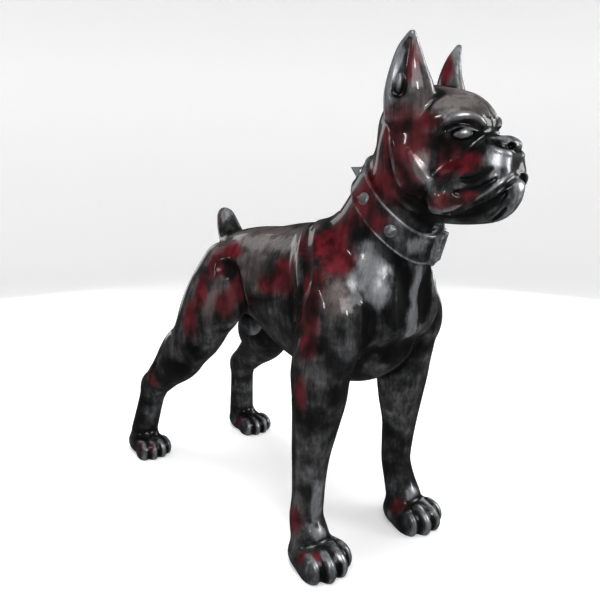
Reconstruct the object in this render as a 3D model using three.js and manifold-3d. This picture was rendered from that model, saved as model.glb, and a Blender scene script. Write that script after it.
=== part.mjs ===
// A boxer dog standing four square, cast in one piece with its studded collar.
// Millimetres, +Z up, +X towards the muzzle and +Y to the dog's left.

import * as THREE from 'three';
import Module from 'manifold-3d';
import { mergeVertices } from 'three/addons/utils/BufferGeometryUtils.js';

const wasm = await Module();
wasm.setup();

// driving dimensions
const withersHeight = 610;    // floor to the top of the shoulders
const headTurn = 7;           // degrees that the head looks to the dog's left
const collarWidth = 46;       // across the strap
const collarThickness = 7;    // the strap stands this far off the neck
const studRadius = 10.5;
const studHeight = 17;
const buckleAngle = 13;       // degrees from the throat to the dog's left
const buckleWidth = 36;       // around the neck
const buckleHeight = 52;      // across the strap
const buckleBar = 9;          // width of the frame's bars
const buckleThickness = 7;    // how far the frame stands off the strap

// the free form below is written for a dog of this height and keeps its proportions
const sculptedHeight = 610;
const unit = withersHeight / sculptedHeight;
const surfaceStep = 6.2;      // spacing of the samples that the surface is drawn from
const faceCount = 8300;       // triangles kept for the dog itself
const studAngles = [48, 103, 153];   // on each side, from the throat
const studSides = 6;
const collarSunk = 6;         // the strap and what is on it go this far into the neck
const collarSteps = 44;       // points of the strap around the neck

const degrees = Math.PI / 180;
const far = 200;              // distance given to points with no shape near them
const headDetail = { above: 640, weight: 5 };      // the thinned surface keeps more of the head
const pawDetail = { below: 70, weight: 1.6 };      // and of the paws

// shapes: each has its lowest and highest corner and its distance to a point

function smoothMin(a, b, k) {
  const h = Math.max(k - Math.abs(a - b), 0) / k;
  return Math.min(a, b) - h * h * k / 4;
}

function smoothMax(a, b, k) {
  return -smoothMin(-a, -b, k);
}

function turned(angles) {
  const [x, y, z] = angles.map((angle) => angle * degrees);
  return new THREE.Matrix4().makeRotationFromEuler(new THREE.Euler(x, y, z, 'ZYX')).elements;
}

function placed(shape, [px, py, pz], angles) {
  const m = turned(angles);
  const low = [Infinity, Infinity, Infinity];
  const high = [-Infinity, -Infinity, -Infinity];
  for (let corner = 0; corner < 8; corner++) {
    const x = corner & 1 ? shape.high[0] : shape.low[0];
    const y = corner & 2 ? shape.high[1] : shape.low[1];
    const z = corner & 4 ? shape.high[2] : shape.low[2];
    [px, py, pz].forEach((start, k) => {
      const value = start + m[k] * x + m[4 + k] * y + m[8 + k] * z;
      low[k] = Math.min(low[k], value);
      high[k] = Math.max(high[k], value);
    });
  }
  const distance = (x, y, z) => {
    const dx = x - px;
    const dy = y - py;
    const dz = z - pz;
    return shape.distance(
      m[0] * dx + m[1] * dy + m[2] * dz,
      m[4] * dx + m[5] * dy + m[6] * dz,
      m[8] * dx + m[9] * dy + m[10] * dz,
    );
  };
  return { low, high, distance };
}

function ellipsoid(centre, [rx, ry, rz], angles = [0, 0, 0]) {
  const distance = (x, y, z) => {
    const u = x / rx;
    const v = y / ry;
    const w = z / rz;
    const length = Math.sqrt(u * u + v * v + w * w);
    const slope = Math.sqrt((u / rx) ** 2 + (v / ry) ** 2 + (w / rz) ** 2);
    return length * (length - 1) / (slope + 1e-9);
  };
  return placed({ low: [-rx, -ry, -rz], high: [rx, ry, rz], distance }, centre, angles);
}

function roundedBox(centre, [hx, hy, hz], round, angles = [0, 0, 0]) {
  const distance = (x, y, z) => {
    const u = Math.abs(x) - hx + round;
    const v = Math.abs(y) - hy + round;
    const w = Math.abs(z) - hz + round;
    const outside = Math.hypot(Math.max(u, 0), Math.max(v, 0), Math.max(w, 0));
    return outside + Math.min(Math.max(u, v, w), 0) - round;
  };
  return placed({ low: [-hx, -hy, -hz], high: [hx, hy, hz], distance }, centre, angles);
}

// value k of a smooth curve through the points, at t counted in points
function along(points, t, k) {
  const last = points.length - 1;
  const i = Math.min(Math.max(Math.floor(t), 0), last - 1);
  const s = t - i;
  const before = points[Math.max(i - 1, 0)][k];
  const start = points[i][k];
  const end = points[i + 1][k];
  const after = points[Math.min(i + 2, last)][k];
  const bend = 2 * before - 5 * start + 4 * end - after;
  const twist = 3 * start - before - 3 * end + after;
  return (2 * start + (end - before) * s + bend * s * s + twist * s * s * s) / 2;
}

function curvePieces(points, steps) {
  const count = (points.length - 1) * steps;
  const values = points[0].length;
  const curve = [];
  for (let i = 0; i <= count; i++) {
    curve.push(Array.from({ length: values }, (_, k) => along(points, i / steps, k)));
  }
  const pieces = [];
  for (let i = 0; i < count; i++) {
    const start = curve[i];
    const way = curve[i + 1].map((value, k) => value - start[k]);
    const square = way[0] ** 2 + way[1] ** 2 + way[2] ** 2 + 1e-9;
    pieces.push({ start, way, square });
  }
  return { curve, pieces };
}

function curveBox(curve, reach) {
  const low = [0, 1, 2].map((k) => Math.min(...curve.map((point) => point[k] - reach(point))));
  const high = [0, 1, 2].map((k) => Math.max(...curve.map((point) => point[k] + reach(point))));
  return { low, high };
}

// a limb along points of [x, y, z, half depth, half width across the dog]
function limb(points) {
  const steps = 4;
  const { curve, pieces } = curvePieces(points, steps);
  const section = (x, y, z, depth, width) => {
    const length = Math.sqrt(x * x + y * y + z * z);
    const stretched = Math.sqrt(x * x + z * z + (y * depth / width) ** 2);
    return stretched < 1e-6 ? -Math.min(depth, width) : length - depth * length / stretched;
  };
  const distance = (x, y, z) => {
    let best = Infinity;
    let place = 0;
    for (let i = 0; i < pieces.length; i++) {
      const { start, way, square } = pieces[i];
      const dx = x - start[0];
      const dy = y - start[1];
      const dz = z - start[2];
      const share = Math.min(Math.max((dx * way[0] + dy * way[1] + dz * way[2]) / square, 0), 1);
      const depth = start[3] + share * way[3];
      const width = start[4] + share * way[4];
      const near = section(
        dx - share * way[0], dy - share * way[1], dz - share * way[2], depth, width,
      );
      if (near < best) {
        best = near;
        place = (i + share) / steps;
      }
    }
    return section(
      x - along(points, place, 0),
      y - along(points, place, 1),
      z - along(points, place, 2),
      along(points, place, 3),
      along(points, place, 4),
    );
  };
  return { ...curveBox(curve, (point) => Math.max(point[3], point[4])), distance };
}

// the sculpture is a list of strokes, each of which changes the distance near it
const strokes = [];

function addStroke({ low, high }, margin, change) {
  strokes.push({
    low: low.map((value) => value - margin),
    high: high.map((value) => value + margin),
    change,
  });
}

function join(k, shape) {
  addStroke(shape, k + 14, (d, x, y, z) => smoothMin(d, shape.distance(x, y, z), k));
}

function carve(k, shape) {
  addStroke(shape, k + 2, (d, x, y, z) => smoothMax(d, -shape.distance(x, y, z), k));
}

function mirrored(shape) {
  return {
    low: [shape.low[0], -shape.high[1], shape.low[2]],
    high: [shape.high[0], -shape.low[1], shape.high[2]],
    distance: (x, y, z) => shape.distance(x, -y, z),
  };
}

function both(tool, k, shape) {
  tool(k, shape);
  tool(k, mirrored(shape));
}

// a soft ridge, or a groove where the height is negative, along points of [x, y, z, share]
function crease(points, radius, height, side = 1) {
  const marked = points.map(([x, y, z, share = 1]) => [x, y * side, z, share]);
  const { curve, pieces } = curvePieces(marked, 3);
  addStroke(curveBox(curve, () => radius), 1, (d, x, y, z) => {
    if (Math.abs(d) > radius * 1.5) return d;
    let best = 1;
    let share = 1;
    for (let i = 0; i < pieces.length; i++) {
      const { start, way, square } = pieces[i];
      const dx = x - start[0];
      const dy = y - start[1];
      const dz = z - start[2];
      const part = Math.min(Math.max((dx * way[0] + dy * way[1] + dz * way[2]) / square, 0), 1);
      const size = start[3] + part * way[3];
      const away = Math.hypot(dx - part * way[0], dy - part * way[1], dz - part * way[2]);
      const ratio = away / (size * radius);
      if (ratio < best) {
        best = ratio;
        share = size;
      }
    }
    return d - height * share * (1 - best * best) ** 2;
  });
}

function creases(points, radius, height) {
  crease(points, radius, height, 1);
  crease(points, radius, height, -1);
}

function sculptBody() {
  // trunk, from the rump to the chest
  join(10, limb([
    [-420, 0, 484, 58, 58], [-384, 0, 492, 84, 78], [-320, 0, 497, 94, 90], [-230, 0, 484, 114, 100],
    [-130, 0, 469, 142, 108], [-40, 0, 462, 144, 104], [10, 0, 466, 103, 88], [40, 0, 480, 70, 66],
  ]));
  // neck
  join(50, limb([
    [-40, 0, 520, 92, 74], [32, 0, 590, 92, 70], [74, 0, 655, 84, 64],
    [98, 0, 715, 72, 56], [110, 0, 768, 66, 56],
  ]));
  join(24, ellipsoid([60, 0, 548], [62, 62, 56]));
  // breast, shoulder blade, upper arm and elbow
  both(join, 34, ellipsoid([60, 47, 484], [59, 44, 64]));
  both(join, 32, limb([
    [-86, 44, 588, 22, 20], [-44, 80, 545, 42, 32], [0, 96, 492, 58, 42], [30, 102, 440, 56, 38],
  ]));
  both(join, 24, limb([[38, 98, 462, 40, 35], [12, 107, 400, 53, 39], [-4, 112, 362, 47, 39]]));
  both(join, 16, ellipsoid([-32, 106, 408], [38, 26, 60], [0, -16, 0]));
  // tail, and the small rounded form between the thighs
  join(18, limb([[-424, 0, 536, 34, 30], [-450, 0, 578, 31, 25], [-462, 0, 604, 24, 20]]));
  join(14, ellipsoid([-366, 0, 372], [34, 23, 35]));
}

function sculptForeLeg(side, [px, py], fuller) {
  const to = ([x, y, z, ...size]) => [x, y * side, z, ...size];
  join(22, limb([
    [6, 112 - fuller, 376, 50, 44 + fuller], [2, 112 - fuller, 326, 47, 50 + fuller],
    [-4, 115 - fuller, 276, 42, 43 + fuller], [-12, 118, 216, 35, 36],
    [-17, 119, 166, 32, 31], [-19, 120, 122, 30, 30],
    [px - 28, (py + 120) / 2, 84, 31, 32], [px - 16, py, 54, 35, 35],
  ].map(to)));
  join(14, ellipsoid(to([px - 2, py, 21]), [54, 46, 35]));
  const toes = [[20, -33], [34, -12], [34, 12], [20, 33]];
  for (const [ahead, across] of toes) {
    join(8, ellipsoid(to([px + ahead, py + across, 18]), [34, 17, 30], [0, -10, across * side / 3]));
  }
  const bend = [[22, -38, 50], [22, -14, 57], [22, 14, 57], [10, 40, 50]];
  crease(bend.map(([ahead, across, z]) => to([px + ahead, py + across, z])), 9, -4);
}

function sculptHindLeg(side, paw, ankle, hock, stifle, hip) {
  const to = ([x, y, z, ...size]) => [x, y * side, z, ...size];
  const between = (a, b, share) => a.map((value, k) => value + (b[k] - value) * share);
  join(22, limb([
    to([...hip, 64, 40]), to([...between(hip, stifle, 0.45), 76, 48]),
    to([...between(hip, stifle, 0.8), 70, 48]), to([...stifle, 54, 40]),
  ]));
  join(20, limb([
    to([...stifle, 48, 40]), to([...between(stifle, hock, 0.3), 60, 44]),
    to([...between(stifle, hock, 0.65), 44, 37]), to([...hock, 35, 30]),
  ]));
  join(14, limb([
    to([...hock, 34, 29]), to([...between(hock, ankle, 0.5), 33, 30]), to([...ankle, 34, 32]),
  ]));
  const [px, py] = paw;
  join(14, ellipsoid(to([px - 16, py, 21]), [59, 39, 33]));
  const toes = [[24, -27], [35, -10], [35, 11], [24, 28]];
  for (const [ahead, across] of toes) {
    join(8, ellipsoid(to([px + ahead, py + across, 17]), [32, 15, 27], [0, -10, across * side / 3]));
  }
  const bend = [[18, -30, 44], [22, 0, 51], [8, 34, 44]];
  crease(bend.map(([ahead, across, z]) => to([px + ahead, py + across, z])), 8, -3.5);
}

function sculptMuscles() {
  // behind the shoulder
  creases([
    [-124, -14, 612], [-84, -60, 598], [-52, -94, 574], [-26, -116, 546],
    [-14, -130, 510], [-42, -124, 468], [-64, -120, 430], [-74, -110, 388],
  ], 22, -6);
  // between the breast and the arm, and under the breast
  creases([[112, -58, 530, 0.5], [108, -72, 494], [96, -86, 457], [86, -92, 428, 0.6]], 30, -4);
  creases([[74, -76, 392, 0.6], [92, -56, 406], [100, -30, 412], [101, 0, 410]], 28, -6);
  // breast bone
  crease([[112, -6, 566, 0.6], [118, -8, 524], [114, -8, 474], [110, -8, 436, 0.7]], 12, 4.5);
  crease([[110, -32, 556, 0.7], [119, -35, 514], [115, -35, 460, 0.8]], 22, -5);
  crease([[110, 20, 556, 0.7], [119, 20, 514], [115, 20, 460, 0.8]], 20, -5);
  // in front of the thigh, the hollow of the flank and the last rib
  creases([
    [-322, -98, 508, 0.7], [-296, -96, 504], [-276, -96, 476], [-265, -96, 438, 0.8], [-252, -90, 394, 0.6],
  ], 30, -12);
  both(join, 30, ellipsoid([-330, 86, 420], [38, 20, 40], [0, 30, 0]));
  creases([[-236, -100, 455], [-180, -112, 462], [-120, -116, 476]], 14, -3);
  // thigh, heel tendon and forearm
  creases([[-392, -118, 470], [-410, -130, 400], [-420, -130, 350]], 24, -4);
  creases([[-566, -158, 222], [-530, -156, 258], [-492, -152, 292]], 12, -5);
  creases([[-566, -110, 222], [-530, -108, 258], [-492, -104, 292]], 12, -4);
  creases([[-20, -158, 300], [-22, -156, 240], [-24, -152, 170]], 14, -3);
}

function sculptHead() {
  // skull, cheeks and brow
  join(30, ellipsoid([130, 0, 768], [82, 62, 56], [0, 8, 0]));
  join(20, ellipsoid([158, 0, 768], [74, 58, 54]));
  both(join, 18, ellipsoid([116, 50, 724], [54, 26, 58], [0, 0, 4]));
  join(26, ellipsoid([140, 0, 706], [70, 50, 44]));
  both(join, 18, ellipsoid([192, 30, 778], [34, 27, 17], [0, 24, -14]));
  // muzzle, flews, lower jaw and chin
  join(16, roundedBox([225, 0, 712], [46, 43, 37], 26, [0, 4, 0]));
  join(10, ellipsoid([226, 0, 744], [30, 22, 13]));
  both(join, 16, ellipsoid([224, 32, 684], [52, 25, 35], [0, -20, -8]));
  both(join, 22, ellipsoid([188, 45, 670], [34, 19, 26], [0, -30, 12]));
  join(14, limb([
    [110, 0, 668, 38, 36], [180, 0, 660, 36, 31], [244, 0, 661, 32, 28], [262, 0, 668, 26, 24],
  ]));
  join(6, ellipsoid([269, 0, 680], [18, 22, 14]));
  // nose
  join(4, ellipsoid([256, 0, 741], [19, 25, 13], [0, 14, 0]));
  both(carve, 3, ellipsoid([270, -17, 738], [9, 6, 4.5], [0, 0, -40]));
  creases([[269, -24, 736, 0.8], [261, -30, 738], [251, -30, 743], [241, -24, 750, 0.6]], 6, -4);
  creases([[240, -38, 739, 0.5], [254, -37, 733], [266, -31, 728], [274, -18, 726, 0.7]], 6, 2);
  crease([[277, 0, 738], [279, 0, 722], [278, 0, 700]], 5, -3.5);
  // forehead groove between two rims
  crease([[150, 0, 826, 0.6], [186, 0, 818], [214, 0, 804], [230, 0, 786], [236, 0, 770]], 7, -5);
  creases([[150, -10, 826, 0.6], [190, -11, 818], [214, -11, 802], [230, -11, 784]], 8, 3);
  // cheek ridge, the hollow behind it and the line of the jaw
  creases([
    [138, -79, 732, 0.6], [154, -75, 709], [169, -66, 691], [180, -63, 677], [192, -62, 662, 0.6],
  ], 13, 4);
  creases([[120, -80, 712, 0.6], [138, -75, 690], [152, -66, 670], [164, -54, 652, 0.7]], 17, -5);
  creases([
    [86, -72, 786, 0.8], [92, -76, 742], [102, -74, 706], [114, -66, 680], [130, -54, 660], [150, -40, 646],
  ], 12, -7);
  creases([[98, -78, 770, 0.7], [104, -80, 740], [112, -78, 710], [124, -70, 684]], 10, 3);
}

function sculptEyes() {
  both(carve, 5, ellipsoid([211, -51, 756], [19, 12, 10], [0, 0, 31]));
  both(join, 1.5, ellipsoid([205, -40.5, 756], [15, 12, 8.5], [0, 0, 31]));
  // lids, the crease over the upper lid and the brow ridge
  creases([[180, -62, 753, 0.6], [194, -58, 762], [209, -51, 766], [223, -39, 760, 0.8]], 5.5, 3.5);
  creases([[186, -61, 746, 0.6], [198, -56, 742], [212, -49, 742], [225, -36, 750, 0.8]], 6, 3);
  creases([
    [170, -66, 750, 0.5], [190, -61, 765], [206, -54, 771], [221, -42, 770], [230, -31, 762, 0.8],
  ], 8, -5);
  creases([
    [178, -62, 765, 0.5], [197, -58, 777], [212, -49, 782], [225, -37, 780], [232, -25, 770, 0.8],
  ], 9, 4);
  // folds under the eye
  creases([
    [234, -26, 758, 0.7], [227, -34, 749], [219, -42, 738], [206, -50, 727], [192, -56, 722, 0.6],
  ], 8, -5);
  creases([[222, -38, 746, 0.6], [213, -47, 736], [200, -55, 732, 0.6]], 6, 2);
}

function sculptMouth() {
  // wrinkles of the flews
  creases([[218, -58, 692, 0.5], [234, -56, 691], [247, -53, 698], [257, -48, 708, 0.6]], 7, -4);
  creases([
    [206, -60, 676, 0.5], [223, -58, 673], [240, -55, 675], [252, -49, 682], [264, -42, 692, 0.6],
  ], 7, -4);
  // line under the upper lip, and the lip's rolled edge
  creases([
    [281, 0, 699, 0.3], [279, -12, 696, 0.9], [275, -25, 688], [269, -34, 678], [260, -40, 667],
    [248, -44, 657], [232, -46, 649], [215, -46, 643], [198, -46, 642, 0.7],
  ], 8, -8);
  creases([
    [281, -4, 706], [281, -16, 703], [277, -29, 695], [270, -39, 684], [260, -46, 673], [246, -51, 663],
    [230, -54, 655], [213, -54, 649], [198, -54, 649], [184, -54, 656], [174, -55, 668, 0.7],
  ], 6, 3.5);
  // folds of the lower jaw
  creases([[232, -18, 630, 0.6], [250, -27, 639], [264, -29, 653], [273, -22, 672, 0.7]], 8, -4.5);
  creases([[256, -9, 633, 0.6], [272, -12, 650], [280, -10, 670, 0.7]], 6, -3.5);
}

// in an ear's own frame x is the way the cup opens, y runs across it and z to the tip
function sculptEars() {
  const root = [119, -64, 811];
  const lean = [-3, 3, -62];
  const leaf = limb([
    [-4, 4, -26, 22, 34], [-3, 6, 8, 20, 38], [-4, 2, 42, 14, 28], [-1, 1, 70, 9, 17.5], [4, 4, 89, 5, 6],
  ]);
  const cup = limb([
    [19, -10, 11, 13, 15], [18, -10, 28, 13, 17], [12, -8, 48, 9, 14], [8, -3, 68, 5, 8], [7, 1, 80, 3, 4],
  ]);
  both(join, 10, placed(leaf, root, lean));
  both(carve, 4, placed(cup, root, lean));
  both(join, 4, placed(ellipsoid([5, -8, 18], [8, 6, 17]), root, lean));
}

sculptBody();
sculptForeLeg(-1, [8, 125], 1);
sculptForeLeg(1, [20, 119], 5);
sculptHindLeg(-1, [-624, 150], [-652, 146, 52], [-606, 134, 180], [-414, 118, 342], [-362, 74, 494]);
sculptHindLeg(1, [-582, 136], [-614, 134, 52], [-600, 130, 188], [-410, 116, 342], [-362, 74, 494]);
join(16, ellipsoid([-470, 96, 318], [64, 48, 66]));   // fuller calf of the near hind leg
sculptMuscles();
sculptHead();
sculptEyes();
sculptMouth();
sculptEars();

// the head turns about the neck, more and more from the shoulders to the jaw
const turnStart = 610;
const turnEnd = 730;
const turnCentre = 60;

function bodyPoint(x, y, z) {
  const rise = Math.min(Math.max((z - turnStart) / (turnEnd - turnStart), 0), 1);
  const angle = headTurn * degrees * rise * rise * (3 - 2 * rise);
  const dx = x - turnCentre;
  const turnedX = turnCentre + Math.cos(angle) * dx + Math.sin(angle) * y;
  const turnedY = Math.cos(angle) * y - Math.sin(angle) * dx;
  return [turnedX, turnedY, z];
}

function distanceFrom(list, px, py, pz) {
  const [x, y, z] = bodyPoint(px / unit, py / unit, pz / unit);
  let d = far;
  for (let i = 0; i < list.length; i++) {
    const { low, high, change } = list[i];
    if (x < low[0] || x > high[0] || y < low[1] || y > high[1] || z < low[2] || z > high[2]) continue;
    d = change(d, x, y, z);
  }
  return d * unit;
}

const distance = (x, y, z) => distanceFrom(strokes, x, y, z);

// the field is sampled on a grid of cells: coarse blocks first, then the blocks near the surface

const blockCells = 4;
const corners = [0, 1, 2, 3, 4, 5, 6, 7].map((n) => [n & 1, (n >> 1) & 1, n >> 2]);

function sampleField(low, high, step) {
  const blocks = [0, 1, 2].map((k) => Math.ceil((high[k] - low[k]) / (step * blockCells)));
  const counts = blocks.map((count) => count * blockCells + 1);
  const stride = [1, counts[0], counts[0] * counts[1]];
  const values = new Float32Array(counts[0] * counts[1] * counts[2]).fill(far);
  const size = step * blockCells;
  const reach = size * 0.9;
  for (let bz = 0; bz < blocks[2]; bz++) {
    for (let by = 0; by < blocks[1]; by++) {
      for (let bx = 0; bx < blocks[0]; bx++) {
        const start = [low[0] + bx * size, low[1] + by * size, low[2] + bz * size];
        const middle = start.map((value) => value + size / 2);
        const value = distance(...middle);
        const near = Math.abs(value) < reach * 2.2 ? strokesNear(middle, size) : null;
        fillBlock(values, stride, [bx, by, bz], start, step, near, value);
      }
    }
  }
  return { low, step, counts, stride, values };
}

// strokes that can change the distance in a block: the turned head takes a wider margin
function strokesNear(middle, size) {
  const [x, y, z] = bodyPoint(middle[0] / unit, middle[1] / unit, middle[2] / unit);
  const margin = size / unit;
  return strokes.filter(({ low, high }) => x > low[0] - margin && x < high[0] + margin
    && y > low[1] - margin && y < high[1] + margin && z > low[2] - margin && z < high[2] + margin);
}

function fillBlock(values, stride, [bx, by, bz], start, step, near, value) {
  for (let k = 0; k <= blockCells; k++) {
    for (let j = 0; j <= blockCells; j++) {
      const row = (by * blockCells + j) * stride[1] + (bz * blockCells + k) * stride[2];
      for (let i = 0; i <= blockCells; i++) {
        const place = bx * blockCells + i + row;
        if (near) {
          values[place] = distanceFrom(near, start[0] + i * step, start[1] + j * step, start[2] + k * step);
        } else if (Math.abs(values[place]) >= far) {
          values[place] = value;
        }
      }
    }
  }
}

// fills the few cells whose inside and outside corners only touch, so that every edge has two faces
function closePinches({ counts, stride, values }) {
  const faces = [[stride[0], stride[1]], [stride[1], stride[2]], [stride[0], stride[2]]];
  const cube = corners.map(([i, j, k]) => i + j * stride[1] + k * stride[2]);
  const inside = (place) => values[place] < 0;
  for (let pass = 0; pass < 6; pass++) {
    let filled = 0;
    const fill = (places) => {
      const place = places.find((candidate) => !inside(candidate));
      values[place] = -1e-3;
      filled++;
    };
    for (let k = 0; k < counts[2] - 1; k++) {
      for (let j = 0; j < counts[1] - 1; j++) {
        for (let i = 0; i < counts[0] - 1; i++) {
          const o = i + j * stride[1] + k * stride[2];
          const total = cube.reduce((sum, offset) => sum + (inside(o + offset) ? 1 : 0), 0);
          if (total < 2 || total > 6) continue;
          for (const [a, b] of faces) {
            const across = inside(o) === inside(o + a + b) && inside(o + a) === inside(o + b);
            if (across && inside(o) !== inside(o + a)) fill([o, o + a, o + b, o + a + b]);
          }
          for (let n = 0; n < 4; n++) {
            const one = inside(o + cube[n]);
            if (one !== inside(o + cube[7 - n])) continue;
            const same = cube.filter((offset) => inside(o + offset) === one).length;
            if (same === 2) fill(one ? cube.map((offset) => o + offset) : [o + cube[n]]);
          }
        }
      }
    }
    if (filled === 0) break;
  }
}

// one vertex in each cell that the surface crosses, and two triangles for each crossed grid line
function surfaceOf({ low, step, counts, stride, values }) {
  const cellVertex = new Int32Array(values.length).fill(-1);
  const points = [];
  const faces = [];
  const cube = corners.map(([i, j, k]) => i + j * stride[1] + k * stride[2]);
  const edges = [];
  for (let a = 0; a < 8; a++) {
    for (const bit of [1, 2, 4]) if (!(a & bit)) edges.push([a, a | bit]);
  }
  const eachCell = (from, visit) => {
    for (let k = from; k < counts[2] - 1; k++) {
      for (let j = from; j < counts[1] - 1; j++) {
        for (let i = from; i < counts[0] - 1; i++) visit(i, j, k, i + j * stride[1] + k * stride[2]);
      }
    }
  };
  eachCell(0, (i, j, k, o) => {
    const sum = [0, 0, 0];
    let crossings = 0;
    for (const [a, b] of edges) {
      const va = values[o + cube[a]];
      const vb = values[o + cube[b]];
      if ((va < 0) === (vb < 0)) continue;
      const t = va / (va - vb);
      for (let axis = 0; axis < 3; axis++) {
        sum[axis] += corners[a][axis] + t * (corners[b][axis] - corners[a][axis]);
      }
      crossings++;
    }
    if (crossings === 0) return;
    cellVertex[o] = points.length;
    points.push([i, j, k].map((cell, axis) => low[axis] + (cell + sum[axis] / crossings) * step));
  });
  eachCell(1, (i, j, k, o) => {
    for (let axis = 0; axis < 3; axis++) {
      const inside = values[o] < 0;
      if (inside === (values[o + stride[axis]] < 0)) continue;
      const b = stride[(axis + 1) % 3];
      const c = stride[(axis + 2) % 3];
      const ring = [cellVertex[o], cellVertex[o - b], cellVertex[o - b - c], cellVertex[o - c]];
      if (!inside) ring.reverse();
      faces.push([ring[0], ring[1], ring[2]], [ring[0], ring[2], ring[3]]);
    }
  });
  return { points, faces };
}

// moves each vertex onto the surface along the slope of the field
function settle(points, rounds) {
  const probe = 0.6 * unit;
  const longest = surfaceStep * unit / 2;
  for (const point of points) {
    for (let round = 0; round < rounds; round++) {
      const [x, y, z] = point;
      const d = distance(x, y, z);
      if (Math.abs(d) < 0.02) break;
      const slope = [
        distance(x + probe, y, z) - d, distance(x, y + probe, z) - d, distance(x, y, z + probe) - d,
      ];
      const square = slope.reduce((sum, value) => sum + value * value, 1e-12);
      const length = Math.min(Math.abs(d) * probe / Math.sqrt(square), longest) * Math.sign(d);
      slope.forEach((value, k) => {
        point[k] -= value / Math.sqrt(square) * length;
      });
    }
  }
}

// the surface is thinned by folding up the edges that change its shape least

class Queue {
  constructor() {
    this.items = [];
  }

  push(item) {
    const { items } = this;
    let i = items.push(item) - 1;
    while (i > 0) {
      const above = (i - 1) >> 1;
      if (items[above].cost <= item.cost) break;
      items[i] = items[above];
      i = above;
    }
    items[i] = item;
  }

  pop() {
    const { items } = this;
    const top = items[0];
    const item = items.pop();
    let i = 0;
    while (items.length > 0) {
      let below = 2 * i + 1;
      if (below >= items.length) break;
      if (below + 1 < items.length && items[below + 1].cost < items[below].cost) below++;
      if (items[below].cost >= item.cost) break;
      items[i] = items[below];
      i = below;
    }
    if (items.length > 0) items[i] = item;
    return top;
  }
}

function faceNormal(a, b, c) {
  const u = [b[0] - a[0], b[1] - a[1], b[2] - a[2]];
  const v = [c[0] - a[0], c[1] - a[1], c[2] - a[2]];
  return [u[1] * v[2] - u[2] * v[1], u[2] * v[0] - u[0] * v[2], u[0] * v[1] - u[1] * v[0]];
}

// how strongly a place keeps its detail: the head and the paws most
function detailAt([, , z]) {
  const height = z / unit;
  if (height > headDetail.above) return headDetail.weight;
  return height < pawDetail.below ? pawDetail.weight : 1;
}

// squared distance to the planes of a vertex's faces, as the ten numbers of a quadratic form
function planeForm(normal, point, weight) {
  const area = Math.hypot(...normal) + 1e-12;
  const [a, b, c] = normal.map((value) => value / area);
  const d = -(a * point[0] + b * point[1] + c * point[2]);
  const products = [a * a, a * b, a * c, a * d, b * b, b * c, b * d, c * c, c * d, d * d];
  return products.map((value) => value * weight * area);
}

function formValue(q, [x, y, z]) {
  return q[0] * x * x + q[4] * y * y + q[7] * z * z + q[9]
    + 2 * (q[1] * x * y + q[2] * x * z + q[5] * y * z + q[3] * x + q[6] * y + q[8] * z);
}

function formLowest(q, start) {
  // a small pull towards the start keeps the answer near it on flat places
  const pull = 1e-3 * (q[0] + q[4] + q[7]) + 1e-9;
  const [a, b, c, e, f, i] = [q[0] + pull, q[1], q[2], q[4] + pull, q[5], q[7] + pull];
  const right = [pull * start[0] - q[3], pull * start[1] - q[6], pull * start[2] - q[8]];
  const inverse = [e * i - f * f, c * f - b * i, b * f - c * e, a * i - c * c, b * c - a * f, a * e - b * b];
  const scale = 1 / (a * inverse[0] + b * inverse[1] + c * inverse[2]);
  return [
    (inverse[0] * right[0] + inverse[1] * right[1] + inverse[2] * right[2]) * scale,
    (inverse[1] * right[0] + inverse[3] * right[1] + inverse[4] * right[2]) * scale,
    (inverse[2] * right[0] + inverse[4] * right[1] + inverse[5] * right[2]) * scale,
  ];
}

function thin(points, faces, wanted) {
  const around = points.map(() => []);
  const forms = points.map(() => new Array(10).fill(0));
  const stamps = new Int32Array(points.length);
  faces.forEach((face, index) => {
    const corner = face.map((v) => points[v]);
    const form = planeForm(faceNormal(...corner), corner[0], detailAt(corner[0]));
    for (const v of face) {
      around[v].push(index);
      form.forEach((value, k) => {
        forms[v][k] += value;
      });
    }
  });
  const neighbours = (v) => {
    const found = new Set();
    for (const index of around[v]) for (const other of faces[index]) if (other !== v) found.add(other);
    return found;
  };
  const queue = new Queue();
  const offer = (a, b) => {
    const form = forms[a].map((value, k) => value + forms[b][k]);
    const middle = points[a].map((value, k) => (value + points[b][k]) / 2);
    const place = formLowest(form, middle);
    queue.push({ cost: formValue(form, place), a, b, place, form, age: stamps[a] + stamps[b] });
  };
  const folds = (v, other, place) => around[v].some((index) => {
    const face = faces[index];
    if (face.includes(other)) return false;
    const corner = face.map((n) => points[n]);
    const before = faceNormal(...corner);
    const after = faceNormal(...corner.map((point, n) => (face[n] === v ? place : point)));
    const dot = before[0] * after[0] + before[1] * after[1] + before[2] * after[2];
    return dot < 0.3 * Math.hypot(...before) * Math.hypot(...after) + 1e-9;
  });
  points.forEach((_, v) => {
    for (const other of neighbours(v)) if (other > v) offer(v, other);
  });
  let left = faces.length;
  while (left > wanted && queue.items.length > 0) {
    const { a, b, place, form, age } = queue.pop();
    if (stamps[a] < 0 || stamps[b] < 0 || stamps[a] + stamps[b] !== age) continue;
    const near = neighbours(a);
    const shared = [...neighbours(b)].filter((v) => near.has(v));
    if (shared.length !== 2 || folds(a, b, place) || folds(b, a, place)) continue;
    const lost = around[a].filter((index) => faces[index].includes(b));
    for (const index of lost) {
      for (const v of faces[index]) around[v] = around[v].filter((other) => other !== index);
      faces[index] = null;
    }
    for (const index of around[b]) faces[index] = faces[index].map((v) => (v === b ? a : v));
    around[a] = around[a].concat(around[b]);
    around[b] = [];
    points[a] = place;
    forms[a] = form;
    stamps[a]++;
    stamps[b] = -1e6;
    left -= lost.length;
    for (const v of neighbours(a)) offer(a, v);
  }
  const number = new Map();
  const kept = [];
  const used = faces.filter((face) => face !== null).map((face) => face.map((v) => {
    if (!number.has(v)) number.set(v, kept.push(points[v]) - 1);
    return number.get(v);
  }));
  return { points: kept, faces: used };
}

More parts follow.
